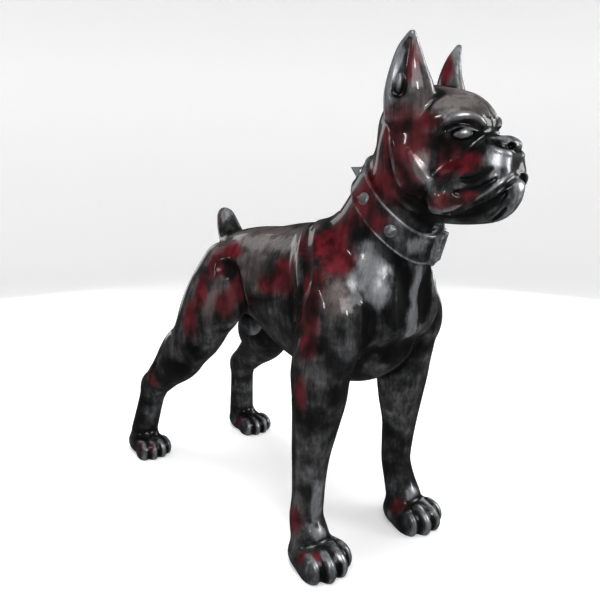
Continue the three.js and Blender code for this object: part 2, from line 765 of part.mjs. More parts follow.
// the box of all the strokes, with room for the turned head
function sculptedBox() {
  const reach = (end, k) => Math[end](...strokes.map((stroke) => stroke[end === 'min' ? 'low' : 'high'][k]));
  const room = [0, Math.sin(headTurn * degrees) * (reach('max', 0) - turnCentre), 0];
  return {
    low: [0, 1, 2].map((k) => (reach('min', k) - room[k]) * unit),
    high: [0, 1, 2].map((k) => (reach('max', k) + room[k]) * unit),
  };
}

function drawnBody() {
  const { low, high } = sculptedBox();
  const samples = sampleField(low, high, surfaceStep * unit);
  closePinches(samples);
  const surface = surfaceOf(samples);
  settle(surface.points, 2);
  const { points, faces } = thin(surface.points, surface.faces, faceCount);
  settle(points, 2);
  const geometry = new THREE.BufferGeometry();
  geometry.setAttribute('position', new THREE.Float32BufferAttribute(points.flat(), 3));
  geometry.setIndex(faces.flat());
  return geometry;
}

// joining and cutting

function solid(geometry) {
  const bare = geometry.index ? geometry.clone() : mergeVertices(geometry);
  for (const name of ['normal', 'uv']) bare.deleteAttribute(name);
  const merged = mergeVertices(bare);
  return new wasm.Manifold(new wasm.Mesh({
    numProp: 3,
    vertProperties: Float32Array.from(merged.attributes.position.array),
    triVerts: Uint32Array.from(merged.index.array),
  }));
}

function geometryOf(manifold) {
  const mesh = manifold.getMesh();
  const geometry = new THREE.BufferGeometry();
  geometry.setAttribute('position', new THREE.BufferAttribute(mesh.vertProperties, 3));
  geometry.setIndex(new THREE.BufferAttribute(mesh.triVerts, 1));
  return geometry;
}

// the collar lies in a plane tilted forward about the neck; angle 0 is at the throat
const collarTilt = 45 * degrees;
const collarCentre = new THREE.Vector3(71, 0, 650).multiplyScalar(unit);
const collarAxis = new THREE.Vector3(Math.sin(collarTilt), 0, Math.cos(collarTilt));
const collarFront = new THREE.Vector3(Math.cos(collarTilt), 0, -Math.sin(collarTilt));
const collarSide = new THREE.Vector3(0, 1, 0);

// a point of the strap's outer face: along is -1 at its lower edge and 1 at its upper edge
function strapPoint(angle, along) {
  const out = collarFront.clone().multiplyScalar(Math.cos(angle));
  out.addScaledVector(collarSide, Math.sin(angle));
  const point = collarCentre.clone().addScaledVector(collarAxis, along * collarWidth / 2);
  for (let step = 0; step < 60; step++) {
    const d = distance(point.x, point.y, point.z);
    if (d > -0.02) break;
    point.addScaledVector(out, -d);
  }
  return { point: point.addScaledVector(out, collarThickness), out };
}

function strap() {
  const points = [];
  for (let i = 0; i < collarSteps; i++) {
    const angle = i / collarSteps * 2 * Math.PI;
    for (const along of [-1, 1]) {
      const { point, out } = strapPoint(angle, along);
      const inner = point.clone().addScaledVector(out, -collarThickness - collarSunk);
      points.push(point, inner);
    }
  }
  const faces = [];
  const corner = [0, 2, 3, 1];   // outer low, outer high, inner high, inner low
  for (let i = 0; i < collarSteps; i++) {
    const here = i * 4;
    const next = (i + 1) % collarSteps * 4;
    corner.forEach((a, n) => {
      const b = corner[(n + 1) % 4];
      faces.push(here + a, next + a, next + b, here + a, next + b, here + b);
    });
  }
  const geometry = new THREE.BufferGeometry().setFromPoints(points);
  geometry.setIndex(faces);
  return geometry;
}

// stands a shape on the strap's middle line, with its z along the strap's normal and its y up the strap
function onStrap(geometry, angle, lift) {
  const low = strapPoint(angle, -1).point;
  const high = strapPoint(angle, 1).point;
  const up = high.clone().sub(low).normalize();
  const around = strapPoint(angle + 0.05, 0).point.sub(strapPoint(angle - 0.05, 0).point).normalize();
  const out = around.clone().cross(up).normalize();
  const side = up.clone().cross(out);
  const middle = low.clone().add(high).multiplyScalar(0.5).addScaledVector(out, lift);
  const frame = new THREE.Matrix4().makeBasis(side, up, out).setPosition(middle);
  return geometry.clone().applyMatrix4(frame);
}

function stud(angle) {
  const tall = studHeight + collarSunk;
  const cone = new THREE.ConeGeometry(studRadius * tall / studHeight, tall, studSides).rotateX(Math.PI / 2);
  return onStrap(cone, angle, studHeight - tall / 2);
}

// a rectangular frame with a crossbar and a tongue
function buckle() {
  const deep = buckleThickness + collarSunk;
  const lift = (buckleThickness - collarSunk) / 2;
  const bar = (x, y, width, height, thick = deep) => {
    const shape = new THREE.BoxGeometry(width, height, thick).translate(x, y, 0);
    return onStrap(shape, buckleAngle * degrees, lift + (thick - deep) / 2);
  };
  const side = (buckleWidth - buckleBar) / 2;
  const end = (buckleHeight - buckleBar) / 2;
  return [
    bar(-side, 0, buckleBar, buckleHeight), bar(side, 0, buckleBar, buckleHeight),
    bar(0, -end, buckleWidth, buckleBar), bar(0, end, buckleWidth, buckleBar),
    bar(0, 0, buckleWidth, buckleBar / 2, deep - buckleThickness / 3),
  ];
}

function wholeStatue() {
  let statue = solid(drawnBody()).add(solid(strap()));
  for (const piece of buckle()) statue = statue.add(solid(piece));
  for (const angle of studAngles) {
    statue = statue.add(solid(stud(angle * degrees))).add(solid(stud(-angle * degrees)));
  }
  const room = 3 * withersHeight;
  const ground = new THREE.BoxGeometry(room, room, room).translate(0, 0, -room / 2);
  return geometryOf(statue.subtract(solid(ground)));
}

// the origin is on the ground, under the middle of the statue
const geometry = wholeStatue();
geometry.computeBoundingBox();
const middle = geometry.boundingBox.getCenter(new THREE.Vector3());
geometry.translate(-middle.x, -middle.y, 0);
geometry.computeVertexNormals();

const patina = new THREE.MeshStandardMaterial({ color: 0x34363a, roughness: 0.3, metalness: 0.75 });
const statue = new THREE.Mesh(geometry, patina);
statue.name = 'boxer_statue';

const group = new THREE.Group();
group.add(statue);

export default group;
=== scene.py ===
import math
from concurrent.futures import ThreadPoolExecutor

import bmesh
import bpy
import numpy as np
from mathutils import Euler, Matrix, Vector


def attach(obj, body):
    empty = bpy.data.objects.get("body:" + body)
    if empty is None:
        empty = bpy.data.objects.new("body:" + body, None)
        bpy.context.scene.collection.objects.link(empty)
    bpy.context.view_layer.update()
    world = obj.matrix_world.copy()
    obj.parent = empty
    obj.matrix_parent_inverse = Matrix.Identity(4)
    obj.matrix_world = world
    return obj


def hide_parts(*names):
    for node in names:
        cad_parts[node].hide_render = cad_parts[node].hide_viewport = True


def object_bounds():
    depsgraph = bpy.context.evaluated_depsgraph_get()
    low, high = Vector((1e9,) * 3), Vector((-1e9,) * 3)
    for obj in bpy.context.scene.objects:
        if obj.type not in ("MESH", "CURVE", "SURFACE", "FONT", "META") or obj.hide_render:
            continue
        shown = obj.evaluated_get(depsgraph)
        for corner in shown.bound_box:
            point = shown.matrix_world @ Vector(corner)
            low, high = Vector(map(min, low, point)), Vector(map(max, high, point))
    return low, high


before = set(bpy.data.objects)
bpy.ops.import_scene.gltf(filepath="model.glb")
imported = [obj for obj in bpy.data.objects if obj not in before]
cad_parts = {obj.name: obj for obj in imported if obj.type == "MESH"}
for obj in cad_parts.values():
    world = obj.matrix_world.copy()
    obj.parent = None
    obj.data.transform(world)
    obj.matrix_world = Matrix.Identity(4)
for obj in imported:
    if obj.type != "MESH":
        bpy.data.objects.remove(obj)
cadLow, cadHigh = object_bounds()
mm = 0.001

# The free form: shapes give the distance from points to their surface, and strokes join, carve or crease.

dog = {
    "headTurn": 7,            # degrees to the dog's left
    "turnFrom": 610,          # the turn starts at this height
    "turnTo": 730,            # and is whole at this one
    "turnCentre": 60,
    "far": 200.0,             # distance given to points with no shape near them
    "tile": 80,        # points are worked out in tiles of this size
    "low": (-730, -215, -30),
    "high": (325, 205, 930),
    "cell": 4.0,       # spacing of the samples on the body
    "headCell": 2.0,   # and on the head
    "headFrom": (42, 640),    # the head lies past this x and above this z
    "pawCell": 2.8,
    "pawBelow": 70,
    "blockCells": 4,
    "nearBlock": 1.35,        # a block is sampled where the surface is within this many of its sizes
    "nearCell": 3.6,          # and a sample in it, within this many of its spacings
    "workers": 4,
    "chunk": 2048,            # points measured against a curve at a time
    "refineWithin": 30,       # a limb's surface is found more closely for points this near to it
    "refineReaches": (0.15, 0.05),
    "stepMost": 2,            # a point settles onto the surface by no more than this at a time
    "hollowReach": 6,         # the painted shade looks this far out of the surface for fine hollows
    "deepReach": 22,          # and this far for deep ones
    "swellProbe": 9,
    "swellUnit": 3,           # a form that swells by this much has the mark 1
    "triangles": 190000,      # kept for the whole dog
    "refined": False,         # true once the surface is drawn and only has to be settled
}

strokes = []


def smoothMin(a, b, k):
    h = np.maximum(k - np.abs(a - b), 0) / k
    return np.minimum(a, b) - h * h * (k / 4)


def smoothMax(a, b, k):
    return -smoothMin(-a, -b, k)


def placed(shape, centre, angles):
    spin = np.array(Euler([math.radians(a) for a in angles], "XYZ").to_matrix(), np.float32)
    low, high, distance = shape
    ends = np.array([[(low, high)[n >> k & 1][k] for k in range(3)] for n in range(8)], np.float32)
    around = ends @ spin.T + centre
    start = np.array(centre, np.float32)
    return around.min(0), around.max(0), lambda p: distance((p - start) @ spin)


def ellipsoid(centre, radii, angles=(0, 0, 0)):
    size = np.array(radii, np.float32)

    def distance(p):
        scaled = p / size
        length = np.sqrt((scaled * scaled).sum(1))
        slope = np.sqrt(((scaled / size) ** 2).sum(1))
        return length * (length - 1) / (slope + 1e-9)

    return placed((-size, size, distance), centre, angles)


def roundedBox(centre, half, rounding, angles=(0, 0, 0)):
    size = np.array(half, np.float32)

    def distance(p):
        beyond = np.abs(p) - size + rounding
        outside = np.sqrt((np.maximum(beyond, 0) ** 2).sum(1))
        return outside + np.minimum(beyond.max(1), 0) - rounding

    return placed((-size, size, distance), centre, angles)


def along(points, t):
    # a smooth curve through the points, at t counted in points
    last = len(points) - 1
    i = np.clip(np.floor(t).astype(int), 0, last - 1)
    s = (t - i).astype(np.float32)[:, None]
    before, start = points[np.maximum(i - 1, 0)], points[i]
    end, after = points[i + 1], points[np.minimum(i + 2, last)]
    bend = 2 * before - 5 * start + 4 * end - after
    twist = 3 * start - before - 3 * end + after
    return (2 * start + (end - before) * s + bend * s * s + twist * s * s * s) / 2


def nearestOn(curve, p, measure):
    # the least measure on the curve, and its place there counted in the curve's pieces
    start, way = curve[:-1], curve[1:] - curve[:-1]
    square = (way[:, :3] ** 2).sum(1) + 1e-9
    best, place = np.empty(len(p), np.float32), np.empty(len(p), np.float32)
    for first in range(0, len(p), dog["chunk"]):
        part = slice(first, first + dog["chunk"])
        away = [p[part, k, None] - start[:, k] for k in range(3)]
        share = np.clip((away[0] * way[:, 0] + away[1] * way[:, 1] + away[2] * way[:, 2]) / square, 0, 1)
        away = [offset - share * way[:, k] for k, offset in enumerate(away)]
        value = measure(away, [start[:, k] + share * way[:, k] for k in range(3, curve.shape[1])])
        nearest = value.argmin(1)
        row = np.arange(len(nearest))
        best[part] = value[row, nearest]
        place[part] = nearest + share[row, nearest]
    return best, place


def limb(points):
    # a limb along points of [x, y, z, half depth, half width across the dog]
    steps = 4
    marks = np.array(points, np.float32)
    curve = along(marks, np.arange((len(marks) - 1) * steps + 1) / steps).astype(np.float32)

    def section(away, size):
        x, y, z = away
        depth, width = size
        level = x * x + z * z
        length = np.sqrt(level + y * y)
        stretched = np.sqrt(level + (y * depth / width) ** 2)
        return length - depth * length / np.maximum(stretched, 1e-3)

    def distance(p):
        value, place = nearestOn(curve, p, section)
        if not dog["refined"]:
            return value
        close = np.flatnonzero(np.abs(value) < dog["refineWithin"])
        q, t = p[close], place[close] / steps

        def at(t):
            mark = along(marks, np.clip(t, 0, len(marks) - 1))
            return section((q - mark[:, :3]).T, mark[:, 3:].T)

        for reach in dog["refineReaches"]:
            # to the lowest place of the parabola through three values
            before, here, after = at(t - reach), at(t), at(t + reach)
            bend = np.maximum(before + after - 2 * here, 1e-4)
            t = np.clip(t + reach * np.clip((before - after) / (2 * bend), -1, 1), 0, len(marks) - 1)
        value[close] = at(t)
        return value

    reach = curve[:, 3:].max(1)[:, None]
    return (curve[:, :3] - reach).min(0), (curve[:, :3] + reach).max(0), distance


def addStroke(low, high, margin, change):
    strokes.append((np.array(low) - margin, np.array(high) + margin, change))


def join(k, shape):
    low, high, distance = shape
    addStroke(low, high, k + 14, lambda d, p: smoothMin(d, distance(p), k))


def carve(k, shape):
    low, high, distance = shape
    addStroke(low, high, k + 2, lambda d, p: smoothMax(d, -distance(p), k))


def mirrored(shape):
    flip = np.array([1, -1, 1], np.float32)
    low, high, distance = shape
    one, other = low * flip, high * flip
    return np.minimum(one, other), np.maximum(one, other), lambda p: distance(p * flip)


def both(tool, k, shape):
    tool(k, shape)
    tool(k, mirrored(shape))


def crease(points, radius, height, side=1):
    # a soft ridge, or a groove where the height is negative, along points of [x, y, z, share]
    steps = 3
    marks = np.array([[x, y * side, z, *(share or [1])] for x, y, z, *share in points], np.float32)
    curve = along(marks, np.arange((len(marks) - 1) * steps + 1) / steps).astype(np.float32)

    def nearness(away, size):
        return np.sqrt(away[0] ** 2 + away[1] ** 2 + away[2] ** 2) / (size[0] * radius)

    def change(d, p):
        ratio, place = nearestOn(curve, p, nearness)
        i = np.minimum(place.astype(int), len(curve) - 2)
        share = curve[i, 3] + (place - i) * (curve[i + 1, 3] - curve[i, 3])
        near = (ratio < 1) & (np.abs(d) <= radius * 1.5)
        return np.where(near, d - height * share * (1 - np.minimum(ratio, 1) ** 2) ** 2, d)

    addStroke(curve[:, :3].min(0) - radius, curve[:, :3].max(0) + radius, 1, change)


def creases(points, radius, height):
    crease(points, radius, height, 1)
    crease(points, radius, height, -1)


def sculptBody():
    # trunk, from the rump to the chest
    join(10, limb([
        [-420, 0, 484, 58, 58], [-384, 0, 492, 84, 78], [-320, 0, 497, 94, 90], [-230, 0, 484, 114, 100],
        [-130, 0, 469, 142, 108], [-40, 0, 462, 144, 104], [10, 0, 466, 103, 88], [40, 0, 480, 70, 66],
    ]))
    # neck
    join(50, limb([
        [-40, 0, 520, 92, 74], [32, 0, 590, 92, 70], [74, 0, 655, 84, 64],
        [98, 0, 715, 72, 56], [110, 0, 768, 66, 56],
    ]))
    join(24, ellipsoid([60, 0, 548], [62, 62, 56]))
    # breast, shoulder blade, upper arm and elbow
    both(join, 34, ellipsoid([60, 47, 484], [59, 44, 64]))
    both(join, 32, limb([
        [-86, 44, 588, 22, 20], [-44, 80, 545, 42, 32], [0, 96, 492, 58, 42], [30, 102, 440, 56, 38],
    ]))
    both(join, 24, limb([[38, 98, 462, 40, 35], [12, 107, 400, 53, 39], [-4, 112, 362, 47, 39]]))
    both(join, 16, ellipsoid([-32, 106, 408], [38, 26, 60], [0, -16, 0]))
    # tail, and the small rounded form between the thighs
    join(18, limb([[-424, 0, 536, 34, 30], [-450, 0, 578, 31, 25], [-462, 0, 604, 24, 20]]))
    join(14, ellipsoid([-366, 0, 372], [34, 23, 35]))


def sculptForeLeg(side, paw, fuller):
    px, py = paw

    def to(x, y, z, *size):
        return [x, y * side, z, *size]

    join(22, limb([
        to(6, 112 - fuller, 376, 50, 44 + fuller), to(2, 112 - fuller, 326, 47, 50 + fuller),
        to(-4, 115 - fuller, 276, 42, 43 + fuller), to(-12, 118, 216, 35, 36),
        to(-17, 119, 166, 32, 31), to(-19, 120, 122, 30, 30),
        to(px - 28, (py + 120) / 2, 84, 31, 32), to(px - 16, py, 54, 35, 35),
    ]))
    join(14, ellipsoid(to(px - 2, py, 21), [54, 46, 35]))
    for ahead, across in [[20, -33], [34, -12], [34, 12], [20, 33]]:
        join(8, ellipsoid(to(px + ahead, py + across, 18), [34, 17, 30], [0, -10, across * side / 3]))
    bend = [[22, -38, 50], [22, -14, 57], [22, 14, 57], [10, 40, 50]]
    crease([to(px + ahead, py + across, z) for ahead, across, z in bend], 9, -4)


def sculptHindLeg(side, paw, ankle, hock, stifle, hip):
    def to(place, *size):
        x, y, z = place
        return [x, y * side, z, *size]

    def between(a, b, share):
        return [u + (v - u) * share for u, v in zip(a, b)]

    join(22, limb([
        to(hip, 64, 40), to(between(hip, stifle, 0.45), 76, 48),
        to(between(hip, stifle, 0.8), 70, 48), to(stifle, 54, 40),
    ]))
    join(20, limb([
        to(stifle, 48, 40), to(between(stifle, hock, 0.3), 60, 44),
        to(between(stifle, hock, 0.65), 44, 37), to(hock, 35, 30),
    ]))
    join(14, limb([to(hock, 34, 29), to(between(hock, ankle, 0.5), 33, 30), to(ankle, 34, 32)]))
    px, py = paw
    join(14, ellipsoid(to([px - 16, py, 21]), [59, 39, 33]))
    for ahead, across in [[24, -27], [35, -10], [35, 11], [24, 28]]:
        join(8, ellipsoid(to([px + ahead, py + across, 17]), [32, 15, 27], [0, -10, across * side / 3]))
    bend = [[18, -30, 44], [22, 0, 51], [8, 34, 44]]
    crease([to([px + ahead, py + across, z]) for ahead, across, z in bend], 8, -3.5)


def sculptMuscles():
    # behind the shoulder
    creases([
        [-124, -14, 612], [-84, -60, 598], [-52, -94, 574], [-26, -116, 546],
        [-14, -130, 510], [-42, -124, 468], [-64, -120, 430], [-74, -110, 388],
    ], 22, -6)
    # between the breast and the arm, and under the breast
    creases([[112, -58, 530, 0.5], [108, -72, 494], [96, -86, 457], [86, -92, 428, 0.6]], 30, -4)
    creases([[74, -76, 392, 0.6], [92, -56, 406], [100, -30, 412], [101, 0, 410]], 28, -6)
    # breast bone
    crease([[112, -6, 566, 0.6], [118, -8, 524], [114, -8, 474], [110, -8, 436, 0.7]], 12, 4.5)
    crease([[110, -32, 556, 0.7], [119, -35, 514], [115, -35, 460, 0.8]], 22, -5)
    crease([[110, 20, 556, 0.7], [119, 20, 514], [115, 20, 460, 0.8]], 20, -5)
    # in front of the thigh, the hollow of the flank and the last rib
    creases([
        [-322, -98, 508, 0.7], [-296, -96, 504], [-276, -96, 476],
        [-265, -96, 438, 0.8], [-252, -90, 394, 0.6],
    ], 30, -12)
    both(join, 30, ellipsoid([-330, 86, 420], [38, 20, 40], [0, 30, 0]))
    creases([[-236, -100, 455], [-180, -112, 462], [-120, -116, 476]], 14, -3)
    # thigh, heel tendon and forearm
    creases([[-392, -118, 470], [-410, -130, 400], [-420, -130, 350]], 24, -4)
    creases([[-566, -158, 222], [-530, -156, 258], [-492, -152, 292]], 12, -5)
    creases([[-566, -110, 222], [-530, -108, 258], [-492, -104, 292]], 12, -4)
    creases([[-20, -158, 300], [-22, -156, 240], [-24, -152, 170]], 14, -3)


def sculptHead():
    # skull, cheeks and brow
    join(30, ellipsoid([130, 0, 768], [82, 62, 56], [0, 8, 0]))
    join(20, ellipsoid([158, 0, 768], [74, 58, 54]))
    both(join, 18, ellipsoid([116, 50, 724], [54, 26, 58], [0, 0, 4]))
    join(26, ellipsoid([140, 0, 706], [70, 50, 44]))
    both(join, 18, ellipsoid([192, 30, 778], [34, 27, 17], [0, 24, -14]))
    # muzzle, flews, lower jaw and chin
    join(16, roundedBox([225, 0, 712], [46, 43, 37], 26, [0, 4, 0]))
    join(10, ellipsoid([226, 0, 744], [30, 22, 13]))
    both(join, 16, ellipsoid([224, 32, 684], [52, 25, 35], [0, -20, -8]))
    both(join, 22, ellipsoid([188, 45, 670], [34, 19, 26], [0, -30, 12]))
    join(14, limb([
        [110, 0, 668, 38, 36], [180, 0, 660, 36, 31], [244, 0, 661, 32, 28], [262, 0, 668, 26, 24],
    ]))
    join(6, ellipsoid([269, 0, 680], [18, 22, 14]))
    # nose
    join(4, ellipsoid([256, 0, 741], [19, 25, 13], [0, 14, 0]))
    both(carve, 3, ellipsoid([270, -17, 738], [9, 6, 4.5], [0, 0, -40]))
    creases([[269, -24, 736, 0.8], [261, -30, 738], [251, -30, 743], [241, -24, 750, 0.6]], 6, -4)
    creases([[240, -38, 739, 0.5], [254, -37, 733], [266, -31, 728], [274, -18, 726, 0.7]], 6, 2)
    crease([[277, 0, 738], [279, 0, 722], [278, 0, 700]], 5, -3.5)
    # forehead groove between two rims
    crease([[150, 0, 826, 0.6], [186, 0, 818], [214, 0, 804], [230, 0, 786], [236, 0, 770]], 7, -5)
    creases([[150, -10, 826, 0.6], [190, -11, 818], [214, -11, 802], [230, -11, 784]], 8, 3)
    # cheek ridge, the hollow behind it and the line of the jaw
    creases([
        [138, -79, 732, 0.6], [154, -75, 709], [169, -66, 691], [180, -63, 677], [192, -62, 662, 0.6],
    ], 13, 4)
    creases([[120, -80, 712, 0.6], [138, -75, 690], [152, -66, 670], [164, -54, 652, 0.7]], 17, -5)
    creases([
        [86, -72, 786, 0.8], [92, -76, 742], [102, -74, 706],
        [114, -66, 680], [130, -54, 660], [150, -40, 646],
    ], 12, -7)
    creases([[98, -78, 770, 0.7], [104, -80, 740], [112, -78, 710], [124, -70, 684]], 10, 3)


def sculptEyes():
    both(carve, 5, ellipsoid([211, -51, 756], [19, 12, 10], [0, 0, 31]))
    both(join, 1.5, ellipsoid([205, -40.5, 756], [15, 12, 8.5], [0, 0, 31]))
    # lids, the crease over the upper lid and the brow ridge
    creases([[180, -62, 753, 0.6], [194, -58, 762], [209, -51, 766], [223, -39, 760, 0.8]], 5.5, 3.5)
    creases([[186, -61, 746, 0.6], [198, -56, 742], [212, -49, 742], [225, -36, 750, 0.8]], 6, 3)
    creases([
        [170, -66, 750, 0.5], [190, -61, 765], [206, -54, 771], [221, -42, 770], [230, -31, 762, 0.8],
    ], 8, -5)
    creases([
        [178, -62, 765, 0.5], [197, -58, 777], [212, -49, 782], [225, -37, 780], [232, -25, 770, 0.8],
    ], 9, 4)
    # folds under the eye
    creases([
        [234, -26, 758, 0.7], [227, -34, 749], [219, -42, 738], [206, -50, 727], [192, -56, 722, 0.6],
    ], 8, -5)
    creases([[222, -38, 746, 0.6], [213, -47, 736], [200, -55, 732, 0.6]], 6, 2)


def sculptMouth():
    # wrinkles of the flews
    creases([[218, -58, 692, 0.5], [234, -56, 691], [247, -53, 698], [257, -48, 708, 0.6]], 7, -4)
    creases([
        [206, -60, 676, 0.5], [223, -58, 673], [240, -55, 675], [252, -49, 682], [264, -42, 692, 0.6],
    ], 7, -4)
    # line under the upper lip, and the lip's rolled edge
    creases([
        [281, 0, 699, 0.3], [279, -12, 696, 0.9], [275, -25, 688], [269, -34, 678], [260, -40, 667],
        [248, -44, 657], [232, -46, 649], [215, -46, 643], [198, -46, 642, 0.7],
    ], 8, -8)
    creases([
        [281, -4, 706], [281, -16, 703], [277, -29, 695], [270, -39, 684], [260, -46, 673], [246, -51, 663],
        [230, -54, 655], [213, -54, 649], [198, -54, 649], [184, -54, 656], [174, -55, 668, 0.7],
    ], 6, 3.5)
    # folds of the lower jaw
    creases([[232, -18, 630, 0.6], [250, -27, 639], [264, -29, 653], [273, -22, 672, 0.7]], 8, -4.5)
    creases([[256, -9, 633, 0.6], [272, -12, 650], [280, -10, 670, 0.7]], 6, -3.5)


def sculptEars():
    # in an ear's own frame x is the way the cup opens, y runs across it and z to the tip
    root = [119, -64, 811]
    lean = [-3, 3, -62]
    leaf = limb([
        [-4, 4, -26, 22, 34], [-3, 6, 8, 20, 38], [-4, 2, 42, 14, 28], [-1, 1, 70, 9, 17.5], [4, 4, 89, 5, 6],
    ])
    cup = limb([
        [19, -10, 11, 13, 15], [18, -10, 28, 13, 17], [12, -8, 48, 9, 14],
        [8, -3, 68, 5, 8], [7, 1, 80, 3, 4],
    ])
    both(join, 10, placed(leaf, root, lean))
    both(carve, 4, placed(cup, root, lean))
    both(join, 4, placed(ellipsoid([5, -8, 18], [8, 6, 17]), root, lean))


sculptBody()
sculptForeLeg(-1, [8, 125], 1)
sculptForeLeg(1, [20, 119], 5)
sculptHindLeg(-1, [-624, 150], [-652, 146, 52], [-606, 134, 180], [-414, 118, 342], [-362, 74, 494])
sculptHindLeg(1, [-582, 136], [-614, 134, 52], [-600, 130, 188], [-410, 116, 342], [-362, 74, 494])
join(16, ellipsoid([-470, 96, 318], [64, 48, 66]))   # fuller calf of the near hind leg
sculptMuscles()
sculptHead()
sculptEyes()
sculptMouth()
sculptEars()


def bodyPoint(p):
    # the head turns about the neck, more and more from the shoulders to the jaw
    rise = np.clip((p[:, 2] - dog["turnFrom"]) / (dog["turnTo"] - dog["turnFrom"]), 0, 1)
    angle = math.radians(dog["headTurn"]) * rise * rise * (3 - 2 * rise)
    x, y = p[:, 0] - dog["turnCentre"], p[:, 1]
    c, s = np.cos(angle), np.sin(angle)
    return np.stack([dog["turnCentre"] + c * x + s * y, c * y - s * x, p[:, 2]], 1).astype(np.float32)


def distanceTo(points):
    # signed distance, worked out tile by tile so that each point meets only the strokes near it
    p = bodyPoint(points)
    d = np.full(len(p), dog["far"], np.float32)
    keys = np.floor(p / dog["tile"]).astype(np.int64)
    code = (keys[:, 0] * 1000 + keys[:, 1]) * 1000 + keys[:, 2]
    order = np.argsort(code, kind="stable")
    cuts = np.flatnonzero(np.diff(code[order])) + 1

    def fillTile(group):
        here = p[group]
        low, high = here.min(0), here.max(0)
        value = d[group]
        for strokeLow, strokeHigh, change in strokes:
            if high[0] < strokeLow[0] or high[1] < strokeLow[1] or high[2] < strokeLow[2]:
                continue
            if low[0] > strokeHigh[0] or low[1] > strokeHigh[1] or low[2] > strokeHigh[2]:
                continue
            inside = np.flatnonzero(((here >= strokeLow) & (here <= strokeHigh)).all(1))
            if len(inside):
                value[inside] = change(value[inside], here[inside])
        d[group] = value

    with ThreadPoolExecutor(dog["workers"]) as workers:
        list(workers.map(fillTile, np.split(order, cuts)))
    return d


def slopeAt(points, probe=0.6):
    # the field's slope from four probes at the corners of a small tetrahedron
    corners = np.array([[1, 1, 1], [1, -1, -1], [-1, 1, -1], [-1, -1, 1]], np.float32)
    slope = np.zeros((len(points), 3), np.float32)
    middle = np.zeros(len(points), np.float32)
    for corner in corners:
        d = distanceTo(points + corner * probe)
        slope += d[:, None] * corner
        middle += d
    return slope / (4 * probe), middle / 4


def settle(points, rounds):
    for _ in range(rounds):
        slope, d = slopeAt(points)
        square = np.maximum((slope * slope).sum(1), 0.05)
        step = np.clip(d / square, -dog["stepMost"], dog["stepMost"])
        points = points - slope * step[:, None]
    return points


def spaced(low, high, bands):
    # sample places from low to high: the spacing is that of the first band that a place lies before
    places = [low]
    while places[-1] < high:
        step = next(step for end, step in bands if places[-1] < end)
        places.append(places[-1] + step)
    extra = -(len(places) - 1) % dog["blockCells"]
    places += [places[-1] + bands[-1][1] * (n + 1) for n in range(extra)]
    return np.array(places, np.float32)


def sampleField():
    low, high = dog["low"], dog["high"]
    cell, headCell, pawCell = dog["cell"], dog["headCell"], dog["pawCell"]
    headX, headZ = dog["headFrom"]
    axes = [
        spaced(low[0], high[0], [(headX, cell), (np.inf, headCell)]),
        spaced(low[1], high[1], [(np.inf, (cell + headCell) / 2)]),
        spaced(low[2], high[2], [(dog["pawBelow"], pawCell), (headZ, cell), (np.inf, headCell)]),
    ]
    count = dog["blockCells"]
    blocks = [(len(axis) - 1) // count for axis in axes]
    starts = [axis[:-1:count] for axis in axes]
    sizes = [axis[count::count] - axis[:-1:count] for axis in axes]
    middles = [start + size / 2 for start, size in zip(starts, sizes)]
    grid = np.stack(np.meshgrid(*middles, indexing="ij"), -1).reshape(-1, 3)
    largest = np.stack(np.meshgrid(*sizes, indexing="ij"), -1).reshape(-1, 3).max(1)
    coarse = distanceTo(grid.astype(np.float32))
    values = np.repeat(np.repeat(np.repeat(coarse.reshape(blocks), count, 0), count, 1), count, 2)
    values = np.pad(values, [(0, 1)] * 3, mode="edge")
    near = np.argwhere((np.abs(coarse) < largest * dog["nearBlock"]).reshape(blocks)) * count
    for stride in (2, 1):
        # every second sample of the blocks near the surface, and then all those round what lies nearest to it
        reach = count if stride == 2 else 2
        offsets = [np.arange(0, reach + 1, stride)] * 3
        steps = np.stack(np.meshgrid(*offsets, indexing="ij"), -1).reshape(-1, 3)
        wanted = np.zeros(values.shape, bool)
        for step in steps:
            i, j, k = (near + step).T
            wanted[i, j, k] = True
        place = np.argwhere(wanted)
        sampled = distanceTo(np.stack([axis[place[:, k]] for k, axis in enumerate(axes)], 1))
        if stride == 2:
            last = np.array(values.shape) - 1
            for step in np.stack(np.meshgrid(*[range(2)] * 3, indexing="ij"), -1).reshape(-1, 3):
                i, j, k = np.minimum(place + step, last).T
                values[i, j, k] = sampled
            gaps = [np.diff(axis, append=axis[-1:] + 9)[place[:, k]] for k, axis in enumerate(axes)]
            close = np.abs(sampled) < np.maximum.reduce(gaps) * dog["nearCell"]
            near = place[close & (place < last).all(1)]
        else:
            values[tuple(place.T)] = sampled
    return axes, values


